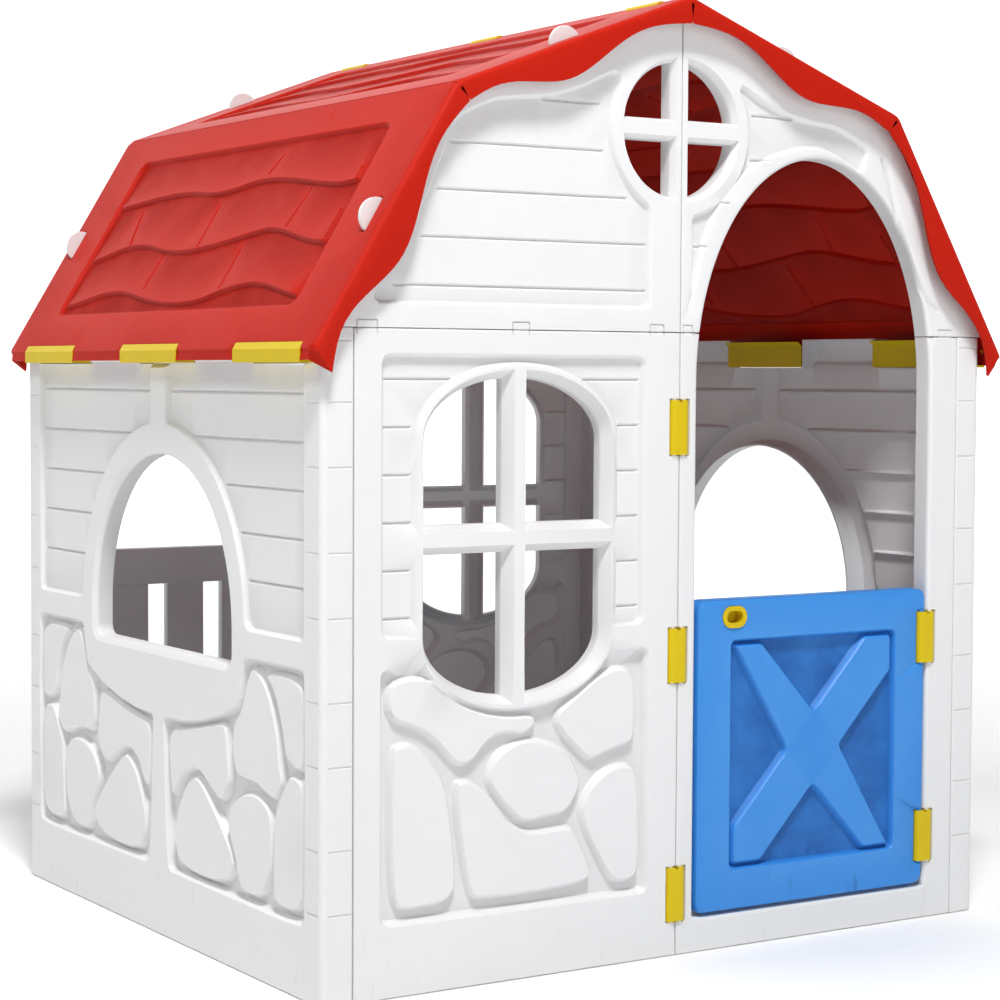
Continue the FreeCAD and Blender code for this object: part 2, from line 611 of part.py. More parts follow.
def roof_panel(name, lower, side):
    """One of the four roof panels: sheet, two scalloped boards and, low down, the eave lip."""
    eave, knee, ridge = roof_line()
    start, end = (eave, knee) if lower else (knee, ridge)
    wave = FASCIA_WAVE_LOWER if lower else FASCIA_WAVE_UPPER
    along = (end - start).normalize()
    into = inward(start, end)
    seam = value_of("roof_seam") / 2
    thick = value_of("roof_skin")
    first = start if lower else start + along * seam
    last = end - along * seam
    reach = value_of("house_depth") / 2 + value_of("verge_overhang")
    inner_eave, inner_knee, inner_ridge = offset_corners(thick)
    inner_first = inner_eave if lower else inner_knee + along * seam
    inner_last = (inner_knee if lower else inner_ridge) - along * seam
    solid = plate([first, last, inner_last, inner_first], -reach, 2 * reach)
    mitres = [(deep - surface).multiply(1 / thick)
              for surface, deep in zip((eave, knee, ridge), (inner_eave, inner_knee, inner_ridge))]
    start_mitre, end_mitre = mitres[:2] if lower else mitres[1:]
    for y in (-reach, reach - thick):
        solid = solid.fuse(fascia(first, last, start_mitre, end_mitre, wave, y, thick))
    if lower:
        lip = value_of("eave_lip")
        lip_plate = plate([eave, eave - Vector(0, 0, lip), eave - Vector(thick, 0, lip),
                           Vector(eave.x - thick, 0, inner_first.z + 1)], -reach, 2 * reach)
        solid = solid.fuse(lip_plate)
        gap = value_of("clip_gap")
        for y in clip_stations():
            jaw = plate(clip_outline(0, value_of("clip_jaw") + 0.1),
                        y - value_of("clip_length") / 2 - gap, value_of("clip_length") + 2 * gap)
            solid = solid.cut(jaw)
    slot = value_of("tab_thickness") + 2 * value_of("tab_clearance")
    room = value_of("tab_radius") + value_of("tab_clearance")
    centre, into_tab = tab_centres()[0 if lower else 1]
    across = Vector(-into_tab.z, 0, into_tab.x)
    middle = value_of("house_depth") / 2 - value_of("panel_depth") / 2
    for y in (-middle, middle):
        solid = solid.cut(plate([centre + across * room - into_tab * room,
                                 centre - across * room - into_tab * room,
                                 centre - across * room + into_tab * (thick + 1),
                                 centre + across * room + into_tab * (thick + 1)],
                                y - slot / 2, slot))
    if not lower:
        rod_z = ridge.z - value_of("link_width") / 4 - seam
        for y in ridge_link_stations():
            half = value_of("link_height") / 2 + value_of("link_notch_clearance")
            width = value_of("link_width") / 2 + value_of("link_notch_clearance")
            notch = Part.makeBox(2 * width, 2 * half, 4 * width,
                                 Vector(-width, y - half, ridge.z - 2 * width))
            run = half + value_of("ridge_rod_hold")
            rod = Part.makeCylinder(value_of("rod_radius"), 2 * run,
                                    Vector(value_of("link_width") / 4, y - run, rod_z), Vector(0, 1, 0))
            solid = solid.cut(notch).fuse(rod)
    feature(name, solid.removeSplitter(), False, side)


def ridge_link(name, station):
    """A link over the ridge that holds the two upper roof panels together."""
    hinge_link(name, ("0", station, "wall_rise + ridge_rise - link_width / 4 - roof_seam / 2"),
               FreeCAD.Rotation(Vector(1, 0, 0), -90))


def eave_clip(name, y, side):
    """A clip that holds the roof's eave to the wall: outer jaw, web and inner jaw."""
    eave = roof_line()[0]
    jaw = value_of("clip_jaw")
    thick = value_of("clip_skin")
    low = eave.z - value_of("eave_lip")
    inner = value_of("wall_span") / 2 - value_of("panel_depth") - value_of("clip_gap")
    top = low - thick + value_of("clip_bracket")
    flare = value_of("clip_flare")
    outline = clip_outline(0, jaw)
    outline = outline[1:] + [Vector(inner, 0, low), Vector(inner, 0, top - flare),
                             Vector(inner - flare, 0, top), Vector(inner - flare - thick, 0, top),
                             Vector(inner - thick, 0, top - flare), Vector(inner - thick, 0, low - thick),
                             Vector(eave.x, 0, low - thick)]
    feature(name, plate(outline, y - value_of("clip_length") / 2, value_of("clip_length")), False, side)


# --------------------------------------------------------------- door and fence
LEAF_START = "(doorway_jamb + leaf_gap)"
LEAF_WIDTH = "(doorway_width - 2 * leaf_gap)"
LEAF_FOOT = "(doorway_sill + leaf_gap)"


def hung_leaf(name, solid):
    """Notch a leaf for its links, hollow it from the back and add its rods."""
    heights = list(enumerate(link_stations("door"), start=1))
    notches = [link_notch("%s_notch_%d" % (name, number), OUTER_JAMB, height, -1)
               for number, height in heights]
    notched = cut(name + "_notched", solid, fuse(name + "_notches", notches))
    doc.recompute()
    backward = flat_faces(notched.Shape, Vector(0, 1, 0))
    back = max(face.CenterOfMass.y for _, face in backward)
    open_names = [found for found, face in backward if abs(face.CenterOfMass.y - back) < 1e-6]
    rods = [link_rod("%s_rod_%d" % (name, number), OUTER_JAMB, height, -1)
            for number, height in heights]
    finish(name, fuse(name, [hollow(name + "_shell", notched, open_names)] + rods))


def half_door(name):
    """The blue half door: a tray with a sunk panel and a raised cross."""
    front = FRONT_FACE + " - door_proud"
    slab = box(name + "_slab", (LEAF_START, LEAF_WIDTH), (front, "door_depth"), (LEAF_FOOT, "door_height"))
    doc.recompute()
    corners = [(number, value_of("door_round"), value_of("door_round"))
               for number, edge in enumerate(slab.Shape.Edges, start=1)
               if abs(edge.BoundBox.YLength - value_of("door_depth")) < 1e-6]
    rounded = doc.addObject("Part::Fillet", name + "_rounded")
    rounded.Base = slab
    rounded.Edges = corners
    sunk = box(name + "_sunk", (LEAF_START + " + door_margin", LEAF_WIDTH + " - 2 * door_margin"),
               (front + " - 1", "door_panel_sink + 1"),
               (LEAF_FOOT + " + door_margin", "door_height - 2 * door_margin"))
    wide = value_of("doorway_width") - 2 * value_of("leaf_gap") - 2 * value_of("door_margin")
    tall = value_of("door_height") - 2 * value_of("door_margin")
    bars = []
    for tag, turn in (("rising", 1), ("falling", -1)):
        bar = doc.addObject("Part::Box", "%s_%s_bar" % (name, tag))
        bind(bar, "Length", "door_cross_width")
        bind(bar, "Width", "door_panel_sink + 2")
        bind(bar, "Height", "2 * door_height")
        tilt = math.degrees(math.atan2(wide, tall)) * turn
        spin = FreeCAD.Rotation(Vector(0, 1, 0), tilt)
        centre = Vector(value_of("doorway_jamb") + value_of("doorway_width") / 2,
                        -value_of("house_depth") / 2 - value_of("door_proud") - 1,
                        value_of("doorway_sill") + value_of("leaf_gap") + value_of("door_height") / 2)
        offset = spin.multVec(Vector(value_of("door_cross_width") / 2, 0, value_of("door_height")))
        bar.Placement = FreeCAD.Placement(centre - offset, spin)
        bars.append(bar)
    recess = cut(name + "_recess", sunk, fuse(name + "_cross", bars))
    cup_x = "(%s + cup_inset)" % LEAF_START
    cup_z = "(%s + door_height - cup_drop)" % LEAF_FOOT
    hole = finger_cup_tool(name + "_cup_hole", cup_x, cup_z, "cup_rim", front)
    solid = cut(name + "_solid", rounded, fuse(name + "_pockets", [recess, hole]))
    hung_leaf(name, solid)


def stadium_through(name, width, height, x, z, start, length):
    """A level stadium shape along Y, from its overall width and height."""
    ends = [disc_through("%s_end_%d" % (name, number), "(%s) / 2" % height,
                         "%s %s ((%s) - (%s)) / 2" % (x, sign, width, height), z, "Y", start, length)
            for number, sign in enumerate(("-", "+"), start=1)]
    middle = box(name + "_middle", ("%s - ((%s) - (%s)) / 2" % (x, width, height),
                                    "(%s) - (%s)" % (width, height)),
                 (start, length), ("%s - (%s) / 2" % (z, height), height))
    return fuse(name, ends + [middle])


def finger_cup_tool(name, x, z, shrink, front):
    """The hole in the door that the finger cup's sleeve passes through."""
    return stadium_through(name, "cup_width - 2 * %s" % shrink, "cup_height - 2 * %s" % shrink,
                           x, z, front + " - 1", "door_depth + 2")


def finger_cup(name):
    """The yellow cup that lines the finger hole: a rim, and a sleeve closed at the back."""
    front = FRONT_FACE + " - door_proud"
    x = "(%s + cup_inset)" % LEAF_START
    z = "(%s + door_height - cup_drop)" % LEAF_FOOT
    rim = stadium_through(name + "_rim", "cup_width", "cup_height", x, z,
                          front + " - cup_proud", "cup_proud")
    sleeve = stadium_through(name + "_sleeve", "cup_width - 2 * cup_rim - 0.4",
                             "cup_height - 2 * cup_rim - 0.4", x, z,
                             front + " - cup_proud", "cup_proud + door_depth * 0.7")
    hollow_space = stadium_through(name + "_space", "cup_width - 2 * cup_rim - 4",
                                   "cup_height - 2 * cup_rim - 4", x, z,
                                   front + " - cup_proud - 1", "cup_proud + door_depth * 0.7 - 1")
    finish(name, cut(name, fuse(name + "_body", [rim, sleeve]), hollow_space))


def picket_fence(name):
    """The low picket fence in the back doorway: two rails between the jambs and its pickets."""
    rail_start = FRONT_FACE + " + skin"
    picket_start = rail_start + " + (fence_depth - picket_depth) / 2"
    members = []
    for tag, low in (("foot", "doorway_sill"), ("head", "fence_top - fence_rail")):
        members.append(box("%s_%s_rail" % (name, tag), ("doorway_jamb", "doorway_width"),
                           (rail_start, "fence_depth"), (low, "fence_rail")))
    space = "((doorway_width - fence_pickets * picket_width) / (fence_pickets + 1))"
    for number in range(int(value_of("fence_pickets"))):
        start = "doorway_jamb + %s + %d * (%s + picket_width)" % (space, number, space)
        members.append(box("%s_picket_%d" % (name, number + 1), (start, "picket_width"),
                           (picket_start, "picket_depth"),
                           ("doorway_sill + fence_rail / 2", "fence_top - fence_rail - doorway_sill")))
    finish(name, fuse(name, members), True)


# ---------------------------------------------------------------- the playhouse
side_wall("left_side_wall", False)
side_wall("right_side_wall", True)

window_wall("front_window_wall", False)
window_wall("back_window_wall", True)
door_wall("front_door_wall", True, False)
door_wall("back_door_wall", False, True)

window_pockets = pocket_tool("window_gable_pockets", WINDOW_WALL_TABS)
door_pockets = pocket_tool("door_gable_pockets", DOOR_WALL_TABS)
doorway_space = doorway_tool("gable_doorway")
doc.recompute()
window_gable_holes = round_window_tool().fuse(
    window_pockets.Shape.mirror(Vector(), Vector(1, 0, 0)))
door_gable_holes = round_window_tool().fuse([door_pockets.Shape, doorway_space.Shape])
gable_half("front_left_gable", window_gable_holes, -1, False)
gable_half("front_right_gable", door_gable_holes, 1, False)
gable_half("back_right_gable", window_gable_holes, -1, True)
gable_half("back_left_gable", door_gable_holes, 1, True)

for side_name, side in (("left", -1), ("right", 1)):
    roof_panel("%s_lower_roof" % side_name, True, side)
    roof_panel("%s_upper_roof" % side_name, False, side)

half_door("front_door")
finger_cup("door_finger_cup")
picket_fence("back_picket_fence")

for face_name, turned in (("front", False), ("back", True)):
    for level_name, height in (("low", "link_low"), ("middle", "link_middle"), ("high", "link_high")):
        wall_link("%s_fold_link_%s" % (face_name, level_name), "0", height, turned)
for level_name, height in (("low", "door_link_low"), ("high", "door_link_high")):
    wall_link("door_link_%s" % level_name, OUTER_JAMB, height, False)
for station_name, step in (("front", -1), ("middle", 0), ("back", 1)):
    ridge_link("ridge_link_%s" % station_name, "%d * (house_depth / 2 - ridge_link_inset)" % step)
for side_name, side in (("left", -1), ("right", 1)):
    for station_name, y in zip(("front", "middle", "back"), clip_stations()):
        eave_clip("%s_eave_clip_%s" % (side_name, station_name), y, side)

# ------------------------------------------------------------- check and export
doc.recompute()
for item in doc.Objects:
    if "Invalid" in item.State or "Error" in item.State:
        raise RuntimeError("%s did not build: %s" % (item.Name, item.State))
for item in sub_parts:
    if item.Shape.isNull() or not item.Shape.isValid() or not item.Shape.Solids:
        raise RuntimeError("%s has no valid solid" % item.Label)
for item in sub_parts:
    item.Shape.exportStep("parts/%s.step" % item.Label)
    size = item.Shape.BoundBox
    print("%-26s solids %d volume %9.0f  x %7.1f %7.1f  y %7.1f %7.1f  z %7.1f %7.1f"
          % (item.Label, len(item.Shape.Solids), item.Shape.Volume,
             size.XMin, size.XMax, size.YMin, size.YMax, size.ZMin, size.ZMax))
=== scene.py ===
import math

import bmesh
import bpy
import numpy as np
from mathutils import Matrix, Vector
from mathutils.geometry import delaunay_2d_cdt


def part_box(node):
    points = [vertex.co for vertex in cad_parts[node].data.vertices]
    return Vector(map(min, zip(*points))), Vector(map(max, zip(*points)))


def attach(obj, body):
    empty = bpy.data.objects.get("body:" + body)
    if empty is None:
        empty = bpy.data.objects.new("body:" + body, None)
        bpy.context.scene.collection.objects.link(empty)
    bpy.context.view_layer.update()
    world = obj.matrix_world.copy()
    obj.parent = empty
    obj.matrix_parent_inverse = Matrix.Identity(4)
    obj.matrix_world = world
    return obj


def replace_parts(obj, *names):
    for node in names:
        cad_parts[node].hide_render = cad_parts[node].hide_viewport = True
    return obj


# A child's plastic playhouse: white moulded walls and gables, a red shingled roof,
# a blue half door and yellow hinge links and clips.  Outlines and reliefs are drawn
# in millimetres on each panel's own face, and land in the model's frame in metres.

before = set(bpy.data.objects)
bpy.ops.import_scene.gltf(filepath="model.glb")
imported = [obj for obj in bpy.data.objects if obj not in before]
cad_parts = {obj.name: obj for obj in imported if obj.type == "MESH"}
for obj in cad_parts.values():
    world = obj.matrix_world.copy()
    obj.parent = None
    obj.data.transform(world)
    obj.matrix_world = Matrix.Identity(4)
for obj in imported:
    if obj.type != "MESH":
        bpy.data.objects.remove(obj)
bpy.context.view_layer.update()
MM = 0.001


def node_box(node):
    """A node's lowest and highest corners in millimetres."""
    low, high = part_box(node)
    return np.array(low) / MM, np.array(high) / MM


wall_low, wall_high = node_box("left_side_wall")
HALF_WIDTH = -wall_low[0]
HALF_DEPTH = wall_high[1]
WALL_TOP = wall_high[2]
EAVE_X, VERGE_Y, KNEE_Z = node_box("right_lower_roof")[1]
RIDGE_Z = node_box("right_upper_roof")[1][2]
PANEL_DEPTH = 26.0
COLUMN_RETURN = 40.0
CORNER_ROUND = 9.0
SKIN = 3.0
SEAM = 0.5
LINK_STATIONS = {"fold": (75, 367, 643), "jamb": (108, 368)}
NOTCH_HALF_WIDTH = 14.7
NOTCH_HALF_HEIGHT = 34.2
DOOR_JAMBS = (27.0, 402.0)
DOOR_SILL = 42.0
DOOR_SPRING = 700.0
DOOR_ARCH_RISE = 275.0
WINDOW_X, WINDOW_HALF, WINDOW_END_RISE = -229.0, 121.0, 72.0
WINDOW_SILL, WINDOW_HEAD, WINDOW_BAR_Z, WINDOW_BAR = 333.0, 702.0, 517.0, 17.0
ROUND_WINDOW_Z = 999.0
EAVE_Z, KNEE_X = 733.0, 328.0
GABLE_CLEARANCE = 4.5
ROOF_CORNERS = np.array(((EAVE_X, EAVE_Z), (KNEE_X, KNEE_Z), (0, RIDGE_Z)))
TAB_RADIUS, TAB_SINK = 22.0, 6.0
LINK_ROD_OFFSET, LINK_ROD_DEPTH, LINK_ROD_RADIUS = 6.75, 4.25, 4
WINDOW_WALL_TABS = (-422.0, -326.0, -229.0, -132.0)
DOOR_WALL_TABS = (431.0,)
CLIP_LAP = 8.0
RIDGE_LINK_STATIONS = (-362.0, 0.0, 362.0)
LOWER_LENGTH = 352.6
CLIP_SPANS = [node_box("left_eave_clip_" + place) for place in ("front", "middle", "back")]


# ------------------------------------------------------------------ flat shapes
def arc(centre, radii, start, end, count):
    """Points along part of an ellipse, with the angles in degrees."""
    turns = np.radians(np.linspace(start, end, count))
    return [(centre[0] + radii[0] * math.cos(t), centre[1] + radii[1] * math.sin(t)) for t in turns]


def soften(points, rounds=2, closed=True):
    """An outline or a line with its corners cut round."""
    line = np.array(points, float)
    for _ in range(rounds):
        after = np.roll(line, -1, axis=0)
        mixed = np.stack((0.75 * line + 0.25 * after, 0.25 * line + 0.75 * after), axis=1)
        if closed:
            line = mixed.reshape(-1, 2)
        else:
            line = np.vstack((line[:1], mixed[:-1].reshape(-1, 2), line[-1:]))
    return line


def spaced(line, step, closed=True):
    """The same line with evenly spaced points."""
    line = np.array(line, float)
    if closed:
        line = np.vstack((line, line[:1]))
    run = np.concatenate(([0], np.cumsum(np.hypot(*np.diff(line, axis=0).T))))
    count = max(3, int(round(run[-1] / step)))
    at = np.linspace(0, run[-1], count + 1)
    if closed:
        at = at[:-1]
    return np.column_stack((np.interp(at, run, line[:, 0]), np.interp(at, run, line[:, 1])))


def rounded(points, radius, count=5):
    """A closed outline with an arc of one radius at every corner."""
    points = [np.array(p, float) for p in points]
    made = []
    for here, (before, after) in zip(points, zip(points[-1:] + points[:-1], points[1:] + points[:1])):
        back = (before - here) / np.linalg.norm(before - here)
        on = (after - here) / np.linalg.norm(after - here)
        half = math.acos(max(-1, min(1, float(back @ on)))) / 2
        trim = min(radius / math.tan(half), np.linalg.norm(before - here) * 0.49,
                   np.linalg.norm(after - here) * 0.49)
        start, end = here + back * trim, here + on * trim
        for share in np.linspace(0, 1, count):
            near = start * (1 - share) + here * share
            far = here * (1 - share) + end * share
            made.append(near * (1 - share) + far * share)
    return np.array(made)


def to_line(points, line, closed=True):
    """The distance of each point from a line."""
    line = np.asarray(line, float)
    ends = np.roll(line, -1, axis=0) if closed else line[1:]
    starts = line if closed else line[:-1]
    along = ends - starts
    size = np.maximum((along ** 2).sum(1), 1e-12)
    nearest = np.empty(len(points))
    for first in range(0, len(points), 3000):
        part = points[first:first + 3000, None, :] - starts[None]
        share = np.clip((part * along).sum(-1) / size, 0, 1)
        nearest[first:first + 3000] = np.sqrt(((part - share[..., None] * along) ** 2).sum(-1)).min(1)
    return nearest


def within(points, loop):
    """Which points lie inside a closed outline."""
    loop = np.asarray(loop, float)
    after = np.roll(loop, -1, axis=0)
    x, y = points[:, 0, None], points[:, 1, None]
    crosses = (loop[:, 1] > y) != (after[:, 1] > y)
    rise = np.where(after[:, 1] == loop[:, 1], 1e-9, after[:, 1] - loop[:, 1])
    edge_x = (after[:, 0] - loop[:, 0]) * (y - loop[:, 1]) / rise + loop[:, 0]
    return ((crosses & (x < edge_x)).sum(1) % 2) == 1


def depth_in(points, loop):
    """How deep each point lies inside a closed outline; negative outside it."""
    return np.where(within(points, loop), 1, -1) * to_line(points, loop)


def shifted(loop, inward):
    """A closed outline moved inward by one distance, with mitred corners."""
    loop = np.asarray(loop, float)
    if inward == 0:
        return loop
    before, after = loop - np.roll(loop, 1, axis=0), np.roll(loop, -1, axis=0) - loop
    ahead = np.roll(loop, -1, axis=0)
    turn = 1 if (loop[:, 0] * ahead[:, 1] - loop[:, 1] * ahead[:, 0]).sum() > 0 else -1
    normals = [np.column_stack((-d[:, 1], d[:, 0])) / np.maximum(np.hypot(*d.T), 1e-9)[:, None] * turn
               for d in (before, after)]
    middle = normals[0] + normals[1]
    middle /= np.maximum(np.hypot(*middle.T), 1e-9)[:, None]
    stretch = 1 / np.maximum((middle * normals[0]).sum(1), 0.5)
    return loop + middle * (stretch * inward)[:, None]


def capsule(line, radius):
    """The outline round an open line at one distance, with round ends."""
    line = np.asarray(line, float)
    way = np.gradient(line, axis=0)
    way /= np.hypot(*way.T)[:, None]
    side = np.column_stack((-way[:, 1], way[:, 0])) * radius
    ends = []
    for tip, heading in ((line[-1], way[-1]), (line[0], -way[0])):
        angle = math.degrees(math.atan2(heading[1], heading[0]))
        ends.append(np.array(arc(tip, (radius, radius), angle + 60, angle - 60, 5)))
    return np.vstack((line + side, ends[0], (line - side)[::-1], ends[1]))


def ease(share):
    """A smooth step from 0 to 1."""
    share = np.clip(share, 0, 1)
    return share * share * (3 - 2 * share)


# ------------------------------------------------------------------ relief
class Area:
    """A raised or sunk area with a rounded slope along its outline."""

    def __init__(self, loop, rise, slope, cuts=()):
        self.loop, self.rise, self.slope, self.cuts = np.asarray(loop, float), rise, slope, cuts

    def depth(self, points):
        depth = depth_in(points, self.loop)
        for cut in self.cuts:
            depth = np.minimum(depth, -depth_in(points, cut))
        return depth

    def effect(self, points):
        """Height, how far it is a foot of a slope and how far it is a brow, for each point."""
        share = self.depth(points) / self.slope + 0.5
        low, high = np.exp(-((share - 0.05) / 0.3) ** 2), np.exp(-((share - 0.9) / 0.3) ** 2)
        foot, brow = (low, high) if self.rise > 0 else (high, low)
        weight = min(1.0, abs(self.rise) / 4)
        return self.rise * ease(share), foot * weight, brow * weight

    def lines(self):
        for loop, sign in [(self.loop, 1)] + [(np.asarray(cut, float), -1) for cut in self.cuts]:
            for share in (-0.5, -0.25, 0, 0.25, 0.5):
                ring = shifted(loop, sign * share * self.slope)
                keep = np.abs(self.depth(ring) - share * self.slope) < 0.8
                yield from runs(ring, keep)


class Groove:
    """A narrow moulded line, sunk for a positive depth."""

    def __init__(self, line, width, depth):
        self.line, self.half, self.fall = np.asarray(line, float), width / 2, depth

    def effect(self, points):
        share = 1 - to_line(points, self.line, closed=False) / self.half
        foot = np.clip(share, 0, 1) if self.fall > 0 else 0 * share
        return -self.fall * ease(share), foot, np.exp(-(share / 0.3) ** 2) * 0.5

    def lines(self):
        yield self.line, False
        yield capsule(self.line, self.half), True
        yield capsule(self.line, self.half * 0.5), True


class Roundover:
    """A wide rounded edge along one side of a sheet."""

    def __init__(self, line, radius):
        self.line, self.radius = np.asarray(line, float), radius

    def effect(self, points):
        away = to_line(points, self.line, closed=False)
        short = np.clip(self.radius - away, 0, self.radius)
        height = -(self.radius - np.sqrt(np.maximum(self.radius ** 2 - short ** 2, 0)))
        return height, 0 * away, np.exp(-((away - 0.3 * self.radius) / (0.5 * self.radius)) ** 2) * 0.8

    def lines(self):
        for share in (0.12, 0.35, 0.65, 1.0):
            yield capsule(self.line, self.radius * share), True


class Course:
    """One course of shingles: a step along its waved foot, falling away up the slope."""

    def __init__(self, foot, rise, run, reach):
        self.foot, self.rise, self.run, self.reach = np.asarray(foot, float), rise, run, reach

    def effect(self, points):
        over = points[:, 1] - np.interp(points[:, 0], self.foot[:, 0], self.foot[:, 1])
        inside = ease((self.reach - np.abs(points[:, 0])) / 8.0)
        height = self.rise * ease(over / 4.0 + 0.5) * np.clip(1 - over / self.run, 0, 1) * inside
        foot = np.exp(-((over + 2.5) / 2.0) ** 2) * inside
        return height, foot, np.exp(-((over - 2.0) / 2.0) ** 2) * inside * 0.8

    def lines(self):
        for lift in (-2.2, -0.8, 0.8, 2.2):
            yield self.foot + (0, lift), False


def runs(ring, keep):
    """The kept stretches of a closed ring, each with whether it closes."""
    if keep.all():
        yield ring, True
        return
    if not keep.any():
        return
    first = int(np.argmin(keep))
    ring, keep = np.roll(ring, -first, axis=0), np.roll(keep, -first)
    start = None
    for number, kept in enumerate(list(keep) + [False]):
        if kept and start is None:
            start = number
        elif not kept and start is not None:
            if number - start > 1:
                yield ring[start:number], False
            start = None


class Sheet:
    """One moulded face: its outline, its holes and the relief on it."""

    def __init__(self, outline, holes=(), edge=2.0, marks=(), ribs=(), chamfers=()):
        self.outline = np.asarray(outline, float)
        self.holes = [np.asarray(hole, float) for hole in holes]
        self.edge, self.marks, self.ribs = edge, list(marks), list(ribs)
        self.chamfers = list(chamfers)
        self.made = None

    def border(self, points):
        depth = depth_in(points, self.outline)
        for hole in self.holes:
            depth = np.minimum(depth, -depth_in(points, hole))
        return depth

    def effect(self, points):
        border = np.clip(self.border(points), 0, None)
        short = np.clip(self.edge - border, 0, self.edge)
        height = -(self.edge - np.sqrt(np.maximum(self.edge ** 2 - short ** 2, 0)))
        foot, brow = np.zeros(len(points)), np.where(border < 1.5 * self.edge, 0.7, 0.0)
        for mark in self.marks:
            rise, low, high = mark.effect(points)
            height = height + rise
            foot, brow = np.maximum(foot, low), np.maximum(brow, high)
        for loop, width, fall in self.chamfers:
            share = np.clip(1 + depth_in(points, loop) / width, 0, 1)
            height = height - fall * share
            brow = np.maximum(brow, np.exp(-((share - 0.02) * width / 2) ** 2) * 0.8)
        return height, foot, brow

    def cut(self):
        """Triangulate the face along every line of its relief, once."""
        if self.made is not None:
            return self.made
        lines = [(self.outline, True)] + [(hole, True) for hole in self.holes]
        for loop in [self.outline] + self.holes:
            sign = 1 if loop is self.outline else -1
            for share in (0.3, 1.0):
                ring = shifted(loop, sign * share * self.edge)
                lines += list(runs(ring, np.abs(self.border(ring) - share * self.edge) < 0.5))
        for mark in self.marks:
            lines += list(mark.lines())
        for loop, width, _ in self.chamfers:
            for out in (width - 0.7, width, width + 0.7):
                lines.append((shifted(loop, -out), True))
            outer = shifted(loop, -width)
            ahead, back = np.roll(loop, -1, axis=0) - loop, loop - np.roll(loop, 1, axis=0)
            turns, sizes = np.abs(np.cross(ahead, back)), np.hypot(*ahead.T) * np.hypot(*back.T)
            for number in np.nonzero(turns > 0.5 * sizes)[0]:
                lines.append((np.array((loop[number], outer[number])), False))
        lines += [(rib, False) for rib in self.ribs]
        places, points, edges = {}, [], set()
        for line, closed in lines:
            line = np.asarray(line, float)
            keys = []
            for point in line:
                key = (round(point[0] * 10), round(point[1] * 10))
                if key not in places:
                    places[key] = len(points)
                    points.append(point)
                keys.append(places[key])
            for a, b in zip(keys, keys[1:] + keys[:1] if closed else keys[1:]):
                if a != b:
                    edges.add((min(a, b), max(a, b)))
        inside = self.border(np.array(points)) > -0.02
        edges = [(a, b) for a, b in edges if inside[a] and inside[b]]
        found = delaunay_2d_cdt([Vector(p) for p in points], edges, [], 0, 1e-4, False)
        flat = np.array([tuple(p) for p in found[0]])
        triangles = np.array(found[2])
        middles = flat[triangles].mean(axis=1)
        a, b, c = (flat[triangles[:, k]] for k in range(3))
        area = np.abs(np.cross(b - a, c - a))
        triangles = triangles[(self.border(middles) > 0) & (area > 1e-4)]
        used = np.unique(triangles)
        renumber = np.zeros(len(flat), int)
        renumber[used] = np.arange(len(used))
        self.made = flat[used], renumber[triangles], self.effect(flat[used])
        return self.made


# ------------------------------------------------------------------ meshes
def new_piece(name, mesh, body, material):
    """A mesh as a piece of the house, with smooth faces and crisp corners."""
    piece = bpy.data.objects.new(name, mesh)
    bpy.context.scene.collection.objects.link(piece)
    mesh.materials.clear()
    mesh.materials.append(material)
    mesh.polygons.foreach_set("use_smooth", [True] * len(mesh.polygons))
    mesh.set_sharp_from_angle(angle=math.radians(38))
    normals = piece.modifiers.new("normals", "WEIGHTED_NORMAL")
    normals.keep_sharp = True
    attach(piece, body)
    return piece


def solid_skin(vertices, faces, foot, brow, skin):
    """A sheet given its thickness, as a mesh in metres."""
    mesh = bpy.data.meshes.new("sheet")
    mesh.from_pydata([tuple(v) for v in np.asarray(vertices) * MM], [], [list(map(int, f)) for f in faces])
    for label, values in (("hollow", foot), ("edge", brow)):
        mesh.attributes.new(label, "FLOAT", "POINT").data.foreach_set("value", np.asarray(values, np.float32))
    shaped = bmesh.new()
    shaped.from_mesh(mesh)
    bmesh.ops.remove_doubles(shaped, verts=shaped.verts, dist=0.03 * MM)
    bmesh.ops.dissolve_degenerate(shaped, dist=0.01 * MM, edges=shaped.edges)
    shaped.to_mesh(mesh)
    shaped.free()
    carrier = bpy.data.objects.new("sheet", mesh)
    bpy.context.scene.collection.objects.link(carrier)
    thick = carrier.modifiers.new("skin", "SOLIDIFY")
    thick.thickness = skin * MM
    thick.offset = -1
    thick.use_even_offset = True
    thick.use_quality_normals = True
    thick.thickness_clamp = 0.9
    bpy.context.view_layer.update()
    graph = bpy.context.evaluated_depsgraph_get()
    result = bpy.data.meshes.new_from_object(carrier.evaluated_get(graph))
    bpy.data.objects.remove(carrier)
    bpy.data.meshes.remove(mesh)
    return result


def moulding(sheet, place, deep, skin=SKIN):
    """The mesh of a sheet: its relief laid on a face, its rim turned in to deep, and a skin."""
    flat, triangles, (height, foot, brow) = sheet.cut()
    surface = place(flat, height)
    a, b, c = (surface[triangles[:, k]] for k in range(3))
    outward = place(flat, height + 1) - surface
    if (np.cross(b - a, c - a) * outward[triangles[:, 0]]).sum() < 0:
        triangles = triangles[:, ::-1]
    sides = {(int(t[k]), int(t[(k + 1) % 3])) for t in triangles for k in range(3)}
    rim = [(a, b) for a, b in sides if (b, a) not in sides]
    rim_points = sorted({a for a, _ in rim})
    below = {point: len(flat) + number for number, point in enumerate(rim_points)}
    low = deep(flat[rim_points])
    faces = [list(t) for t in triangles] + [[b, a, below[a], below[b]] for a, b in sorted(rim)]
    extra = np.zeros(len(low))
    return solid_skin(np.vstack((surface, low)), faces, np.concatenate((foot, extra)),
                      np.concatenate((brow, extra)), skin)


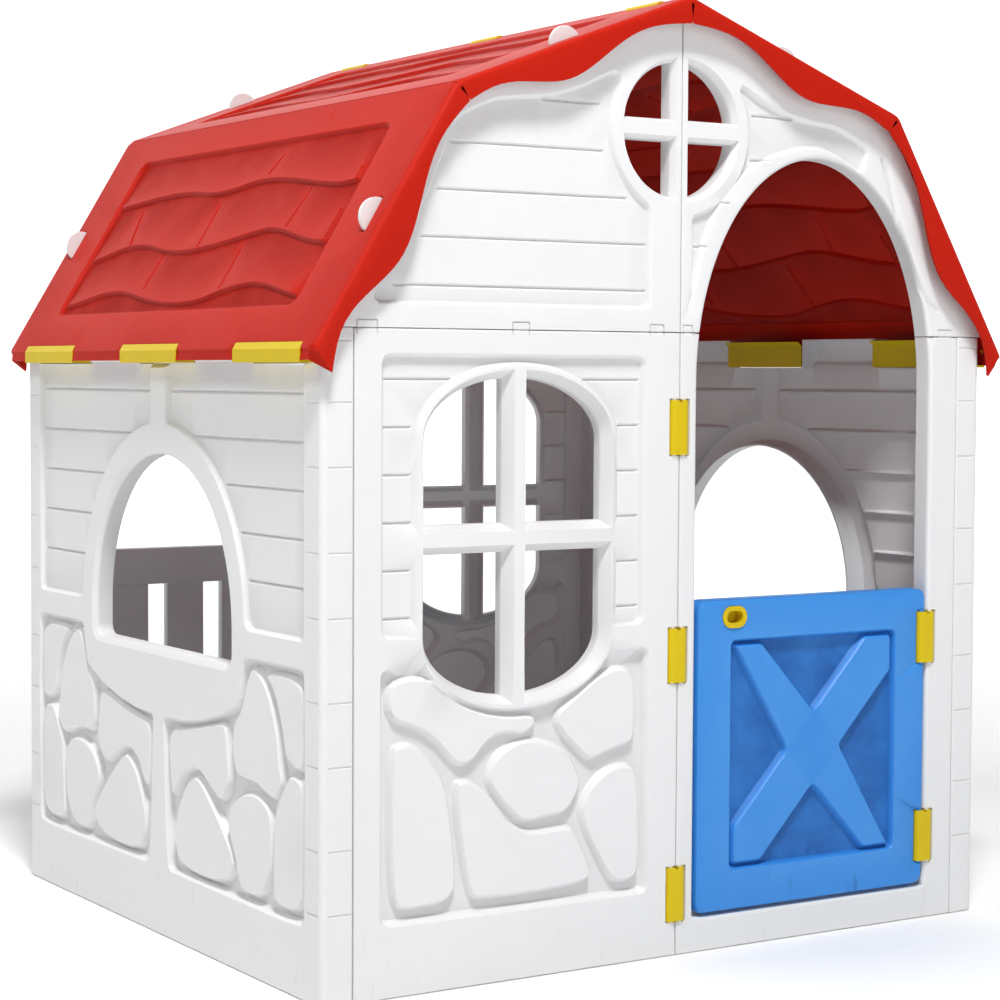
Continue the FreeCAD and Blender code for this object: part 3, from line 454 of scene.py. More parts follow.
def joined(meshes):
    """Several meshes as one."""
    whole = bmesh.new()
    for mesh in meshes:
        whole.from_mesh(mesh)
    result = bpy.data.meshes.new("joined")
    whole.to_mesh(result)
    whole.free()
    return result


def bevelled(shaped, width, segments=2, angle=30):
    """Round the sharp edges of a mesh in the making and hand it over as a mesh."""
    sharp = [e for e in shaped.edges if len(e.link_faces) == 2 and e.calc_face_angle() > math.radians(angle)]
    if width > 0 and sharp:
        bmesh.ops.bevel(shaped, geom=sharp, offset=width * MM, segments=segments, profile=0.5,
                        affect="EDGES", clamp_overlap=True)
    mesh = bpy.data.meshes.new("solid")
    shaped.to_mesh(mesh)
    shaped.free()
    return mesh


def block(low, high, bevel=0.6):
    """A box between two corners with rounded edges."""
    shaped = bmesh.new()
    bmesh.ops.create_cube(shaped, size=1)
    low, high = Vector(low), Vector(high)
    for v in shaped.verts:
        v.co = Vector((low[k] + (v.co[k] + 0.5) * (high[k] - low[k])) * MM for k in range(3))
    return bevelled(shaped, bevel)


def prism(loop, place, near, far, bevel=0.6):
    """A plate of one outline between two heights over a face."""
    loop = np.asarray(loop, float)
    count = len(loop)
    shaped = bmesh.new()
    rings = [[shaped.verts.new(Vector(p) * MM) for p in place(loop, np.full(count, h, float))]
             for h in (near, far)]
    shaped.faces.new(rings[0])
    shaped.faces.new(rings[1][::-1])
    for k in range(count):
        n = (k + 1) % count
        shaped.faces.new((rings[0][n], rings[0][k], rings[1][k], rings[1][n]))
    bmesh.ops.recalc_face_normals(shaped, faces=shaped.faces)
    return bevelled(shaped, bevel)


def rod(start, end, radius):
    """A round rod between two points, with softened ends."""
    start, end = Vector(start) * MM, Vector(end) * MM
    shaped = bmesh.new()
    turn = (end - start).to_track_quat("Z", "Y").to_matrix().to_4x4()
    bmesh.ops.create_cone(shaped, cap_ends=True, segments=20, radius1=radius * MM, radius2=radius * MM,
                          depth=(end - start).length, matrix=Matrix.Translation((start + end) / 2) @ turn)
    return bevelled(shaped, 0.5, segments=1, angle=60)


def half_turn(mesh):
    """A copy of a mesh turned half round the house's middle, for the back."""
    copy = mesh.copy()
    copy.transform(Matrix.Rotation(math.pi, 4, "Z"))
    return copy


def mirrored(mesh):
    """A copy of a mesh mirrored from one side of the house to the other."""
    copy = mesh.copy()
    copy.transform(Matrix.Scale(-1, 4, (1, 0, 0)))
    copy.flip_normals()
    return copy


# ------------------------------------------------------------------ finishes
class Signal:
    """A number that changes over a surface: one output socket of a shader node."""

    def __init__(self, finish, socket):
        self.finish, self.socket = finish, socket

    def maths(self, operation, first, second):
        return self.finish.node("ShaderNodeMath", {"operation": operation}, {0: first, 1: second})

    def __add__(self, other):
        return self.maths("ADD", self, other)

    def __sub__(self, other):
        return self.maths("SUBTRACT", self, other)

    def __rsub__(self, other):
        return self.maths("SUBTRACT", other, self)

    def __mul__(self, other):
        return self.maths("MULTIPLY", self, other)

    __radd__ = __add__
    __rmul__ = __mul__


class Finish:
    """A material in the making, with its principled shader."""

    def __init__(self, name):
        self.material = bpy.data.materials.new(name)
        self.material.use_nodes = True
        self.tree = self.material.node_tree
        self.shader = self.tree.nodes["Principled BSDF"]

    def node(self, kind, settings=None, inputs=None, output=0):
        """Add a node: its settings first, then the values or links of its sockets."""
        made = self.tree.nodes.new(kind)
        for label, value in (settings or {}).items():
            if label == "stops":
                ramp = made.color_ramp
                for number, (at, level) in enumerate(value):
                    stop = ramp.elements[number] if number < 2 else ramp.elements.new(at)
                    stop.position = at
                    stop.color = (level, level, level, 1)
            else:
                setattr(made, label, value)
        for label, value in (inputs or {}).items():
            self.feed(made.inputs[label], value)
        return Signal(self, made.outputs[output])

    def feed(self, socket, value):
        """Link or set one socket."""
        if isinstance(value, Signal):
            self.tree.links.new(value.socket, socket)
        else:
            socket.default_value = value

    def noise(self, scale, detail=2.0, roughness=0.5, stretch=None):
        """Noise over the piece's own coordinates, scale per metre."""
        where = self.node("ShaderNodeTexCoord", output="Object")
        if stretch:
            where = self.node("ShaderNodeVectorMath", {"operation": "MULTIPLY"}, {0: where, 1: stretch})
        return self.node("ShaderNodeTexNoise", {},
                         {"Vector": where, "Scale": scale, "Detail": detail, "Roughness": roughness})

    def ramp(self, value, *stops):
        return self.node("ShaderNodeValToRGB", {"stops": stops}, {"Fac": value})

    def blend(self, share, first, second):
        """A colour between two colours."""
        return self.node("ShaderNodeMix", {"data_type": "RGBA"}, {0: share, 6: first, 7: second}, output=2)

    def bump(self, height, strength, distance, over=None):
        inputs = {"Height": height, "Strength": strength, "Distance": distance}
        if over:
            inputs["Normal"] = over
        return self.node("ShaderNodeBump", {}, inputs)


def moulded_plastic(name, colour, shade, light, dust_and_shade_colour, gloss=0.4, sheen=0.5, dust_and_shade_amount=0.25):
    """Blow-moulded or pressed plastic: faint grain, soft waviness, scuffs, painted shade and dust in hollows,
    rubbed edges.
    """
    finish = Finish(name)
    slow, cloudy = finish.noise(3.1, 2.0), finish.noise(17.0, 4.0, 0.6)
    grainy, fine = finish.noise(620.0, 2.0), finish.noise(1700.0, 1.0)
    scuffs = finish.ramp(finish.noise(46.0, 6.0, 0.72, (1.0, 1.0, 0.22)), (0.6, 0), (0.74, 1))
    hollow = finish.node("ShaderNodeAttribute", {"attribute_name": "hollow"}, output="Fac")
    edge = finish.node("ShaderNodeAttribute", {"attribute_name": "edge"}, output="Fac")
    place = finish.node("ShaderNodeTexCoord", output="Object")
    level = finish.node("ShaderNodeSeparateXYZ", {}, {0: place}, output="Z")
    ground = finish.ramp(level, (0.0, 1), (0.16, 0))
    body = finish.blend(finish.ramp(slow * 0.6 + cloudy * 0.4, (0.35, 0), (0.65, 1)), colour, shade)
    rubbed = finish.ramp(cloudy * 0.5 + edge * 0.6, (0.55, 0), (0.95, 1))
    body = finish.blend(rubbed * 0.5, body, light)
    # Painted shade: the hollows and the feet of slopes are darkened toward the dust colour, standing for both
    # shade and dust there; near the floor the scuffs take on dust.
    dust_and_painted_shade = hollow * (cloudy * 0.9 + 0.1) * dust_and_shade_amount + ground * scuffs * dust_and_shade_amount * 0.9
    body = finish.blend(dust_and_painted_shade, body, dust_and_shade_colour)
    finish.feed(finish.shader.inputs["Base Color"], body)
    rough = grainy * 0.06 + cloudy * 0.10 + (gloss - 0.08) + scuffs * 0.12 + dust_and_painted_shade * 0.3 - rubbed * 0.05
    finish.feed(finish.shader.inputs["Roughness"], rough)
    relief = finish.bump(slow, 0.5, 0.004)
    relief = finish.bump(grainy * 0.7 + fine * 0.3, 0.5, 0.00016, relief)
    relief = finish.bump(scuffs, 0.2, 0.0001, relief)
    finish.feed(finish.shader.inputs["Normal"], relief)
    finish.shader.inputs["IOR"].default_value = 1.49
    finish.shader.inputs["Specular IOR Level"].default_value = sheen
    return finish.material


# Each dust colour and amount below also sets the painted shade in that plastic's hollows.
white_plastic = moulded_plastic(
    "white_moulded_plastic", (0.80, 0.805, 0.81, 1), (0.785, 0.79, 0.80, 1), (0.86, 0.86, 0.865, 1),
    dust_and_shade_colour=(0.34, 0.335, 0.325, 1), gloss=0.42, dust_and_shade_amount=0.30)
red_plastic = moulded_plastic(
    "red_roof_plastic", (0.50, 0.012, 0.003, 1), (0.46, 0.010, 0.0025, 1), (0.60, 0.024, 0.008, 1),
    dust_and_shade_colour=(0.16, 0.004, 0.001, 1), gloss=0.46, sheen=0.12, dust_and_shade_amount=0.8)
blue_plastic = moulded_plastic(
    "blue_door_plastic", (0.040, 0.265, 0.74, 1), (0.034, 0.24, 0.70, 1), (0.10, 0.36, 0.82, 1),
    dust_and_shade_colour=(0.008, 0.05, 0.24, 1), gloss=0.40, sheen=0.3, dust_and_shade_amount=1.0)
yellow_plastic = moulded_plastic(
    "yellow_fitting_plastic", (0.72, 0.54, 0.004, 1), (0.66, 0.48, 0.003, 1), (0.98, 0.88, 0.16, 1),
    dust_and_shade_colour=(0.34, 0.26, 0.05, 1), gloss=0.38, sheen=0.25, dust_and_shade_amount=0.3)


def hang_white_panels(panels):
    """Put each white panel's mesh in place of its node."""
    for node, mesh in panels:
        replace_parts(new_piece(node + "_moulding", mesh.copy(), "house", white_plastic), node)


# ------------------------------------------------------------------ front and back walls
def on_front(points, height):
    """A front wall's face: across and up, relief towards the viewer."""
    return np.column_stack((points[:, 0], -HALF_DEPTH - height, points[:, 1]))


def behind_front(points):
    return on_front(points, np.full(len(points), -PANEL_DEPTH))


def notched_edge(x, side, stations, upward=True):
    """An upright edge with the notches that its links sit in; side is where the panel lies."""
    points = []
    for middle in sorted(stations):
        inner = x + side * (NOTCH_HALF_WIDTH - abs(x) % 1)
        points += [(x, middle - NOTCH_HALF_HEIGHT), (inner, middle - NOTCH_HALF_HEIGHT),
                   (inner, middle + NOTCH_HALF_HEIGHT), (x, middle + NOTCH_HALF_HEIGHT)]
    return points if upward else points[::-1]


def pane(side, rise):
    """One pane of the long window: side and rise are -1 or 1 from its middle bars."""
    inner = WINDOW_X + side * WINDOW_BAR
    turn = math.degrees(math.acos(WINDOW_BAR / WINDOW_HALF))
    spring = WINDOW_HEAD - WINDOW_END_RISE if rise > 0 else WINDOW_SILL + WINDOW_END_RISE
    curve = arc((WINDOW_X, spring), (side * WINDOW_HALF, rise * WINDOW_END_RISE), 0, turn, 16)
    bar_edge = WINDOW_BAR_Z + rise * WINDOW_BAR
    return np.array([(inner, bar_edge), (WINDOW_X + side * WINDOW_HALF, bar_edge)] + curve)


def window_frame(grown):
    """The window's outline, grown for its raised frame."""
    radii = (WINDOW_HALF + grown, WINDOW_END_RISE + grown)
    return np.array(arc((WINDOW_X, WINDOW_HEAD - WINDOW_END_RISE), radii, 0, 180, 40)
                    + arc((WINDOW_X, WINDOW_SILL + WINDOW_END_RISE), radii, 180, 360, 40))


WINDOW_PANES = [pane(side, rise) for side in (-1, 1) for rise in (-1, 1)]
WINDOW_FRAME = window_frame(17)

FRONT_STONES = (
    ((-402, 322), (-402, 350), (-390, 362), (-350, 361), (-335, 349), (-309, 329), (-280, 317),
     (-245, 309), (-204, 309), (-203, 297), (-221, 286), (-242, 292), (-260, 289), (-274, 279),
     (-289, 261), (-308, 257), (-322, 268), (-341, 290), (-362, 305), (-388, 313)),
    ((-174, 302), (-171, 312), (-148, 326), (-117, 349), (-80, 359), (-62, 347), (-60, 272), (-71, 264),
     (-96, 260), (-123, 249), (-136, 256), (-172, 291)),
    ((-269, 241), (-259, 264), (-233, 278), (-205, 280), (-176, 272), (-156, 258), (-140, 232),
     (-140, 218), (-157, 190), (-185, 188), (-218, 183), (-234, 194), (-266, 229)),
    ((-400, 281), (-381, 289), (-361, 281), (-332, 249), (-322, 222), (-310, 126), (-318, 106),
     (-336, 100), (-384, 98), (-398, 111)),
    ((-316, 235), (-299, 240), (-283, 231), (-262, 215), (-240, 185), (-214, 169), (-157, 172),
     (-148, 168), (-121, 116), (-130, 102), (-284, 98), (-296, 110)),
    ((-141, 182), (-130, 213), (-104, 235), (-71, 241), (-56, 227), (-52, 113), (-62, 99), (-88, 99),
     (-103, 113)),
)
STONE_FIELD = ((-411, 84), (-411, 372), (-350, 374), (-230, 374), (-114, 376), (-46, 378), (-46, 84))


def stones(outlines, rise=9.0, slope=6.5):
    """Raised stones from their rough outlines."""
    return [Area(spaced(soften(outline, 2), 6), rise, slope) for outline in outlines]


def planks(spans, width=5.5, depth=3.6):
    """Level grooves between planks, each as (start, end, height) or with an end height."""
    made = []
    for start, end, level, *rest in spans:
        final = rest[0] if rest else level
        count = max(2, int(abs(end - start) / 25))
        line = np.column_stack((np.linspace(start, end, count), np.linspace(level, final, count)))
        made.append(Groove(line, width, depth))
    return made


WINDOW_JOINTS = ((-445, -419), (-240, -217), (-45, -25))
DOOR_JOINTS = ((4, 18), (414, 439))


def joint_marks(spans, way):
    """The slits beside the tabs that lock a wall to its gable; way is -1 in the wall and 1 in the gable."""
    made = []
    for start, end in spans:
        if way < 0:
            lines = [((x, WALL_TOP - 6), (x, WALL_TOP - 0.6)) for x in (start, end)]
        else:
            foot, head = WALL_TOP + 0.6, WALL_TOP + 9
            lines = [((start, foot), (start, head), (end, head), (end, foot))]
        made += [Groove(spaced(line, 2.5, False), 2.4, 2.6) for line in lines]
    return made


def window_wall_sheet():
    """The wall half with the long window."""
    edge = -SEAM
    left = -HALF_WIDTH + COLUMN_RETURN + 1
    top = WALL_TOP - 0.5
    outline = ([(left, 0), (edge, 0)] + notched_edge(edge, -1, LINK_STATIONS["fold"])
               + [(edge, top), (left, top)])
    plank_field = rounded([(-411, 409), (-411, 727), (-52, 727), (-52, 409)], 12)
    levels = (700, 646, 592, 538, 484, 430)
    marks = [
        Area(plank_field, -7.5, 6.0, cuts=[WINDOW_FRAME]),
        Area(rounded(STONE_FIELD, 10), -11.0, 7.0, cuts=[WINDOW_FRAME]),
    ]
    marks += stones(FRONT_STONES)
    spans = [(-406, -322, levels[0]), (-136, -58, levels[0])]
    spans += [(-406, -373, level) for level in levels[1:]] + [(-85, -58, level) for level in levels[1:]]
    marks += planks(spans)
    marks += joint_marks(WINDOW_JOINTS, -1)
    return Sheet(outline, WINDOW_PANES, marks=marks, chamfers=[(p, 10.0, 15.0) for p in WINDOW_PANES])


def doorway_arch(start, end, count):
    middle, half = sum(DOOR_JAMBS) / 2, (DOOR_JAMBS[1] - DOOR_JAMBS[0]) / 2
    return arc((middle, DOOR_SPRING), (half, DOOR_ARCH_RISE), start, end, count)


def door_wall_sheet(hung):
    """The wall half with the doorway; hung is whether a door's links sit in its jamb."""
    top = WALL_TOP - 0.5
    right = HALF_WIDTH - COLUMN_RETURN - 1
    lift = math.degrees(math.asin((top - DOOR_SPRING) / DOOR_ARCH_RISE))
    outline = ([(SEAM, 0), (right, 0), (right, top)] + doorway_arch(lift, 0, 6)
               + (notched_edge(DOOR_JAMBS[1], 1, LINK_STATIONS["jamb"], upward=False) if hung else [])
               + [(DOOR_JAMBS[1], DOOR_SILL), (DOOR_JAMBS[0], DOOR_SILL)] + doorway_arch(180, 180 - lift, 6)
               + [(SEAM, top)] + notched_edge(SEAM, 1, LINK_STATIONS["fold"], upward=False))
    opening = (doorway_arch(180 - lift, 180, 6) + [(DOOR_JAMBS[0], DOOR_SILL), (DOOR_JAMBS[1], DOOR_SILL)]
               + doorway_arch(0, lift, 6))
    marks = [Roundover(spaced(opening, 12, False), 6.0)] + joint_marks(DOOR_JOINTS, -1)
    return Sheet(outline, edge=2.0, marks=marks)


def smooth(loop, radius, step=6.0):
    """An outline with every corner rounded by about one radius."""
    return spaced(soften(spaced(loop, radius), 2), step)


def fold_rods(side, stations, edge_x=0.0):
    """The rods across an edge's notches, which the links snap over."""
    x, y, reach = edge_x + side * LINK_ROD_OFFSET, -HALF_DEPTH + LINK_ROD_DEPTH, NOTCH_HALF_HEIGHT + 2
    return [rod((x, y, middle - reach), (x, y, middle + reach), LINK_ROD_RADIUS) for middle in stations]


def snap_tabs(middles):
    """The tabs that stand up from a wall into the gable above."""
    return [block((x - 12, -HALF_DEPTH + 4, WALL_TOP - 6), (x + 12, -HALF_DEPTH + 7, WALL_TOP + 11), 0.5)
            for x in middles]


window_wall_mesh = joined([moulding(window_wall_sheet(), on_front, behind_front)]
                          + fold_rods(-1, LINK_STATIONS["fold"]) + snap_tabs(WINDOW_WALL_TABS))
front_door_wall_mesh = joined([moulding(door_wall_sheet(True), on_front, behind_front)]
                              + fold_rods(1, LINK_STATIONS["fold"])
                              + fold_rods(1, LINK_STATIONS["jamb"], DOOR_JAMBS[1])
                              + snap_tabs(DOOR_WALL_TABS))
back_door_wall_mesh = joined([moulding(door_wall_sheet(False), on_front, behind_front)]
                             + fold_rods(1, LINK_STATIONS["fold"]) + snap_tabs(DOOR_WALL_TABS))
hang_white_panels((("front_window_wall", window_wall_mesh),
                   ("back_window_wall", half_turn(window_wall_mesh)),
                   ("front_door_wall", front_door_wall_mesh),
                   ("back_door_wall", half_turn(back_door_wall_mesh))))


# ------------------------------------------------------------------ side walls
ARC_RUN = CORNER_ROUND * math.pi / 2
SIDE_REACH = HALF_DEPTH - CORNER_ROUND
SIDE_END = SIDE_REACH + ARC_RUN + COLUMN_RETURN - CORNER_ROUND
SIDE_STONES = (
    ((405, 264), (362, 268), (298, 280), (254, 289), (241, 283), (239, 253), (232, 219), (258, 193),
     (271, 198), (295, 211), (316, 222), (341, 224), (366, 211), (378, 191), (396, 176), (402, 210)),
    ((183, 362), (162, 363), (137, 345), (121, 318), (109, 288), (105, 254), (96, 238), (118, 214),
     (140, 220), (172, 230), (212, 229), (224, 243), (227, 273), (224, 294), (202, 310)),
    ((149, 362), (48, 363), (45, 319), (45, 263), (60, 256), (81, 265), (92, 268), (98, 295),
     (110, 325), (124, 346)),
    ((333, 214), (358, 199), (371, 180), (382, 159), (391, 136), (380, 104), (366, 98), (323, 92),
     (258, 95), (226, 112), (221, 131), (258, 167), (292, 195), (316, 212)),
    ((236, 190), (211, 207), (182, 216), (153, 214), (129, 202), (124, 182), (126, 130), (150, 98),
     (188, 93), (210, 100), (219, 132), (241, 164)),
    ((115, 210), (96, 233), (83, 250), (63, 250), (46, 242), (44, 173), (45, 109), (72, 94), (120, 96),
     (122, 125), (119, 180)),
)
SIDE_STONE_FIELD = ((413, 275), (362, 276), (312, 283), (257, 297), (204, 318), (190, 372), (44, 372),
    (42, 257), (44, 87), (96, 85), (399, 88), (406, 143))
SIDE_PLANK_LEVELS = (683.5, 628.5, 573.6, 518.7, 463.7)
ARCH_Z, ARCH_RADIUS, HOOD_RADIUS = 404, 200, 241
COLUMN_EDGE, TRIM_EDGE = 397, 31
QUOIN_LEVELS = (743, 674, 602, 507, 434, 340, 268, 174, 102)


def round_corner(points, height):
    """The left side wall's face, unrolled: along the wall, round both corners and across the returns."""
    run, rise = points[:, 0], points[:, 1]
    way = np.sign(run)
    past = np.clip(np.abs(run) - SIDE_REACH, 0, None)
    turn = np.minimum(past, ARC_RUN) / CORNER_ROUND
    beyond = np.clip(past - ARC_RUN, 0, None)
    radius = CORNER_ROUND + height
    x = -HALF_WIDTH + CORNER_ROUND - radius * np.cos(turn) + beyond
    y = way * (np.minimum(np.abs(run), SIDE_REACH) + radius * np.sin(turn))
    return np.column_stack((x, y, rise))


def inside_side(points):
    """The side wall's rim on its inner side, one panel's depth in."""
    place = round_corner(points, np.zeros(len(points)))
    place[:, 0] = np.maximum(place[:, 0], -HALF_WIDTH + PANEL_DEPTH)
    place[:, 1] = np.clip(place[:, 1], -HALF_DEPTH + PANEL_DEPTH, HALF_DEPTH - PANEL_DEPTH)
    return place


def from_front(points, mirror):
    """Points measured back from the front face, in the side wall's own coordinate."""
    points = np.array(points, float)
    points[:, 0] -= HALF_DEPTH
    if mirror:
        points[:, 0] *= -1
    return points


def side_wall_sheet():
    """A side wall with its arched opening, planks above and stones below."""
    arch = (arc((0, ARCH_Z), (ARCH_RADIUS, ARCH_RADIUS), 0, 180, 44)
            + arc((-ARCH_RADIUS + 14, 374), (14, 14), 180, 270, 5)
            + arc((ARCH_RADIUS - 14, 374), (14, 14), 270, 360, 5))
    outline = [(-SIDE_END, 0), (SIDE_END, 0), (SIDE_END, WALL_TOP)]
    for low, high in reversed(CLIP_SPANS):
        outline += [(high[1] + SEAM, WALL_TOP), (high[1] + SEAM, low[2] - SEAM),
                    (low[1] - SEAM, low[2] - SEAM), (low[1] - SEAM, WALL_TOP)]
    outline.append((-SIDE_END, WALL_TOP))
    marks = []
    for mirror in (False, True):
        hood = arc((0, ARCH_Z), (HOOD_RADIUS, HOOD_RADIUS), 95.7, 178, 24)
        field = [(-386, 407), (-386, 722), (-24, 722)] + hood + [(-252, 407)]
        field = [(HALF_DEPTH + x, z) for x, z in field]
        marks.append(Area(smooth(from_front(field, mirror), 9), -7.0, 6.0))
        marks.append(Area(smooth(from_front(SIDE_STONE_FIELD, mirror), 9), -11.0, 7.0))
        for stone in SIDE_STONES:
            marks.append(Area(spaced(soften(from_front(stone, mirror), 2), 6), 9.0, 6.5))
        way = 1 if mirror else -1
        spans = []
        for level in SIDE_PLANK_LEVELS:
            reach = HOOD_RADIUS ** 2 - (level - ARCH_Z) ** 2
            inner = TRIM_EDGE if reach < TRIM_EDGE ** 2 else math.sqrt(reach) + 8
            spans.append((way * 381, way * inner, level))
        marks += planks(spans)
        for start, end in ((COLUMN_EDGE, SIDE_REACH), (SIDE_REACH + ARC_RUN, SIDE_END - 3)):
            marks += planks([(way * start, way * end, level) for level in QUOIN_LEVELS], 3.5, 1.4)
    bends = [way * (SIDE_REACH + share * ARC_RUN) for way in (-1, 1) for share in np.linspace(0, 1, 6)]
    ribs = [np.column_stack((np.full(60, bend), np.linspace(0.5, WALL_TOP - 0.5, 60))) for bend in bends]
    return Sheet(outline, [arch], marks=marks, ribs=ribs, chamfers=[(np.array(arch), 8.0, 5.0)])


side_wall_mesh = moulding(side_wall_sheet(), round_corner, inside_side)
hang_white_panels((("left_side_wall", side_wall_mesh), ("right_side_wall", mirrored(side_wall_mesh))))


# ------------------------------------------------------------------ gables
def roof_line(depth):
    """The right half of the roof's eave, knee and ridge, moved in by one depth."""
    eave, knee, ridge = ROOF_CORNERS
    low, high = square_in(eave, knee), square_in(knee, ridge)
    moved = [(eave + low * depth, knee - eave), (knee + high * depth, ridge - knee)]
    (first, way), (second, other) = moved
    share = np.linalg.solve(np.column_stack((way, -other)), second - first)
    bend = first + way * share[0]
    top = second + other * ((0 - second[0]) / other[0])
    return first, bend, top


def square_in(start, end):
    """The direction square to a roof slope of the right half, into the house."""
    along = (end - start) / np.linalg.norm(end - start)
    return np.array((-along[1], along[0])) * (1 if along[0] < 0 else -1)


ROUND_WINDOW_RADIUS, ROUND_WINDOW_BAR, RING_RADIUS = 81.0, 13.0, 103.0


def round_pane(side, rise):
    """A quarter pane of the round window."""
    start = math.degrees(math.asin(ROUND_WINDOW_BAR / ROUND_WINDOW_RADIUS))
    radii = (side * ROUND_WINDOW_RADIUS, rise * ROUND_WINDOW_RADIUS)
    curve = arc((0, ROUND_WINDOW_Z), radii, start, 90 - start, 12)
    return np.array([(side * ROUND_WINDOW_BAR, ROUND_WINDOW_Z + rise * ROUND_WINDOW_BAR)] + curve)


PLAIN_FIELD = ([(46, 786), (46, 898)] + arc((0, ROUND_WINDOW_Z), (RING_RADIUS, RING_RADIUS), -62, 30, 14)
               + [(92, 1062), (101, 1062), (125, 1050), (155, 1038), (190, 1027), (231, 1024), (262, 1020),
                  (296, 1007), (313, 996), (325, 980), (331, 962), (346, 925), (366, 882), (394, 838),
                  (421, 800), (421, 786)])
ARCHED_FIELD = ([(18, 800), (18, 897)] + arc((0, ROUND_WINDOW_Z), (RING_RADIUS, RING_RADIUS), -75, 32, 16)
                + [(90, 1060), (109, 1047), (146, 1031), (186, 1021), (240, 1016), (275, 1002), (292, 988),
                   (284, 962), (262, 972), (240, 983), (215, 990), (186, 988), (140, 976), (94, 951),
                   (59, 916), (37, 873), (24, 826)])
ARCH_LINE = ((317, 980), (332, 945), (343, 908), (362, 860), (391, 807), (413, 791))
PLAIN_PLANKS = ((118, 196, 1024), (112, 320, 969), (78, 337, 915), (50, 359, 861), (50, 394, 806))
ARCHED_PLANKS = ((112, 172, 1023), (110, 134, 969), (62, 72, 915), (24, 37, 861))


def gable_sheet(arched):
    """The right half of a gable, seen from the front, with or without the doorway's arch."""
    _, bend, top = roof_line(GABLE_CLEARANCE)
    slope = (bend[1] - top[1]) / bend[0]
    fall = (KNEE_Z - EAVE_Z) / (EAVE_X - KNEE_X)
    shoulder = (HALF_WIDTH, bend[1] - (HALF_WIDTH - bend[0]) * fall)
    foot = WALL_TOP + SEAM
    pane_cut = [round_pane(1, rise) for rise in (-1, 1)]
    edge_top = (SEAM, top[1] + slope * SEAM)
    if arched:
        lift = math.degrees(math.asin((foot - DOOR_SPRING) / DOOR_ARCH_RISE))
        outline = [(SEAM, foot)] + doorway_arch(180 - lift, lift, 60)
    else:
        outline = [(SEAM, foot)]
    outline += [(HALF_WIDTH, foot)] + ([shoulder] if shoulder[1] > foot else []) + [tuple(bend), edge_top]
    field, plank_lines = (ARCHED_FIELD, ARCHED_PLANKS) if arched else (PLAIN_FIELD, PLAIN_PLANKS)
    marks = [Area(smooth(field, 7), -6.5, 6.0)] + planks(plank_lines)
    if arched:
        marks.append(Groove(spaced(soften(ARCH_LINE, 2, False), 6, False), 12.0, 4.0))
        marks.append(Roundover(np.array(doorway_arch(180 - lift, lift, 60)), 6.0))
        marks += joint_marks(DOOR_JOINTS, 1)
    else:
        marks += joint_marks([(-end, -start) for start, end in WINDOW_JOINTS], 1)
    return Sheet(outline, pane_cut, marks=marks, chamfers=[(pane, 6.0, 9.0) for pane in pane_cut])


def roof_tabs():
    """The round-topped tabs on a gable's sloping edges, which the roof's slots drop over."""
    made = []
    eave, knee, ridge = ROOF_CORNERS
    for start, end in ((eave, knee), (knee, ridge)):
        into = square_in(start, end)
        along = (end - start) / np.linalg.norm(end - start)
        middle = (start + end) / 2
        heading = math.degrees(math.atan2(-into[1], -into[0]))
        spread = math.degrees(math.acos(TAB_SINK / TAB_RADIUS))
        crown = arc(middle + into * TAB_SINK, (TAB_RADIUS,) * 2, heading - spread, heading + spread, 18)
        reach = math.sqrt(TAB_RADIUS ** 2 - TAB_SINK ** 2)
        sides = [middle + along * reach * way + into * (GABLE_CLEARANCE + 2) for way in (1, -1)]
        if np.linalg.norm(sides[0] - crown[-1]) > np.linalg.norm(sides[1] - crown[-1]):
            sides.reverse()
        made.append(prism(crown + sides, on_front, -PANEL_DEPTH / 2 - 2.5, -PANEL_DEPTH / 2 + 2.5, 0.8))
    return made


def gable_mesh(arched):
    return joined([moulding(gable_sheet(arched), on_front, behind_front)] + roof_tabs())


arched_gable, plain_gable = gable_mesh(True), mirrored(gable_mesh(False))
hang_white_panels((("front_right_gable", arched_gable), ("front_left_gable", plain_gable),
                   ("back_left_gable", half_turn(arched_gable)),
                   ("back_right_gable", half_turn(plain_gable))))


# ------------------------------------------------------------------ roof
LOWER_WAVE = ((-0.03, 34), (0.12, 19), (0.42, 42), (0.80, 17), (1.0, 26))
UPPER_WAVE = ((0.0, 26), (0.15, 21), (0.40, 42), (0.74, 19), (1.0, 31))
FIELD_REACH = 344.0
COURSE_FEET = (
    ((-345, 71), (-315, 75), (-213, 96), (-131, 84.5), (-69, 68), (55, 71), (187, 97.5), (318, 73),
     (345, 72)),
    ((-345, 143), (-332, 144), (-281, 150), (-184, 173), (-125, 166), (10, 148), (85, 149), (210, 170),
     (329, 144), (345, 143)),
    ((-345, 229), (-328, 229), (-286, 225), (-90, 253), (25, 232), (151, 247), (349, 230)),
)
SHINGLE_SIDES = (
    ((-93, 285), (-85, 257)), ((-326, 247), (-329, 234)), ((263, 224), (230, 168)), ((21, 220), (9, 154)),
    ((-217, 227), (-214, 173)), ((-326, 190), (-332, 151)), ((112, 151), (105, 96)),
    ((-111, 153), (-123, 89)), ((-338, 114), (-341, 82)),
)


def through(stations):
    """A smooth curve through a few stations, as a function."""
    at, value = np.array(stations, float).T
    gap = np.diff(at)
    count = len(at)
    matrix, wanted = np.eye(count), np.zeros(count)
    for k in range(1, count - 1):
        matrix[k, k - 1:k + 2] = gap[k - 1], 2 * (gap[k - 1] + gap[k]), gap[k]
        wanted[k] = 6 * ((value[k + 1] - value[k]) / gap[k] - (value[k] - value[k - 1]) / gap[k - 1])
    curving = np.linalg.solve(matrix, wanted)

    def curve(x):
        k = np.clip(np.searchsorted(at, x) - 1, 0, count - 2)
        before, after = x - at[k], at[k + 1] - x
        return (curving[k] * after ** 3 + curving[k + 1] * before ** 3) / (6 * gap[k]) \
            + (value[k] / gap[k] - curving[k] * gap[k] / 6) * after \
            + (value[k + 1] / gap[k] - curving[k + 1] * gap[k] / 6) * before
    return curve


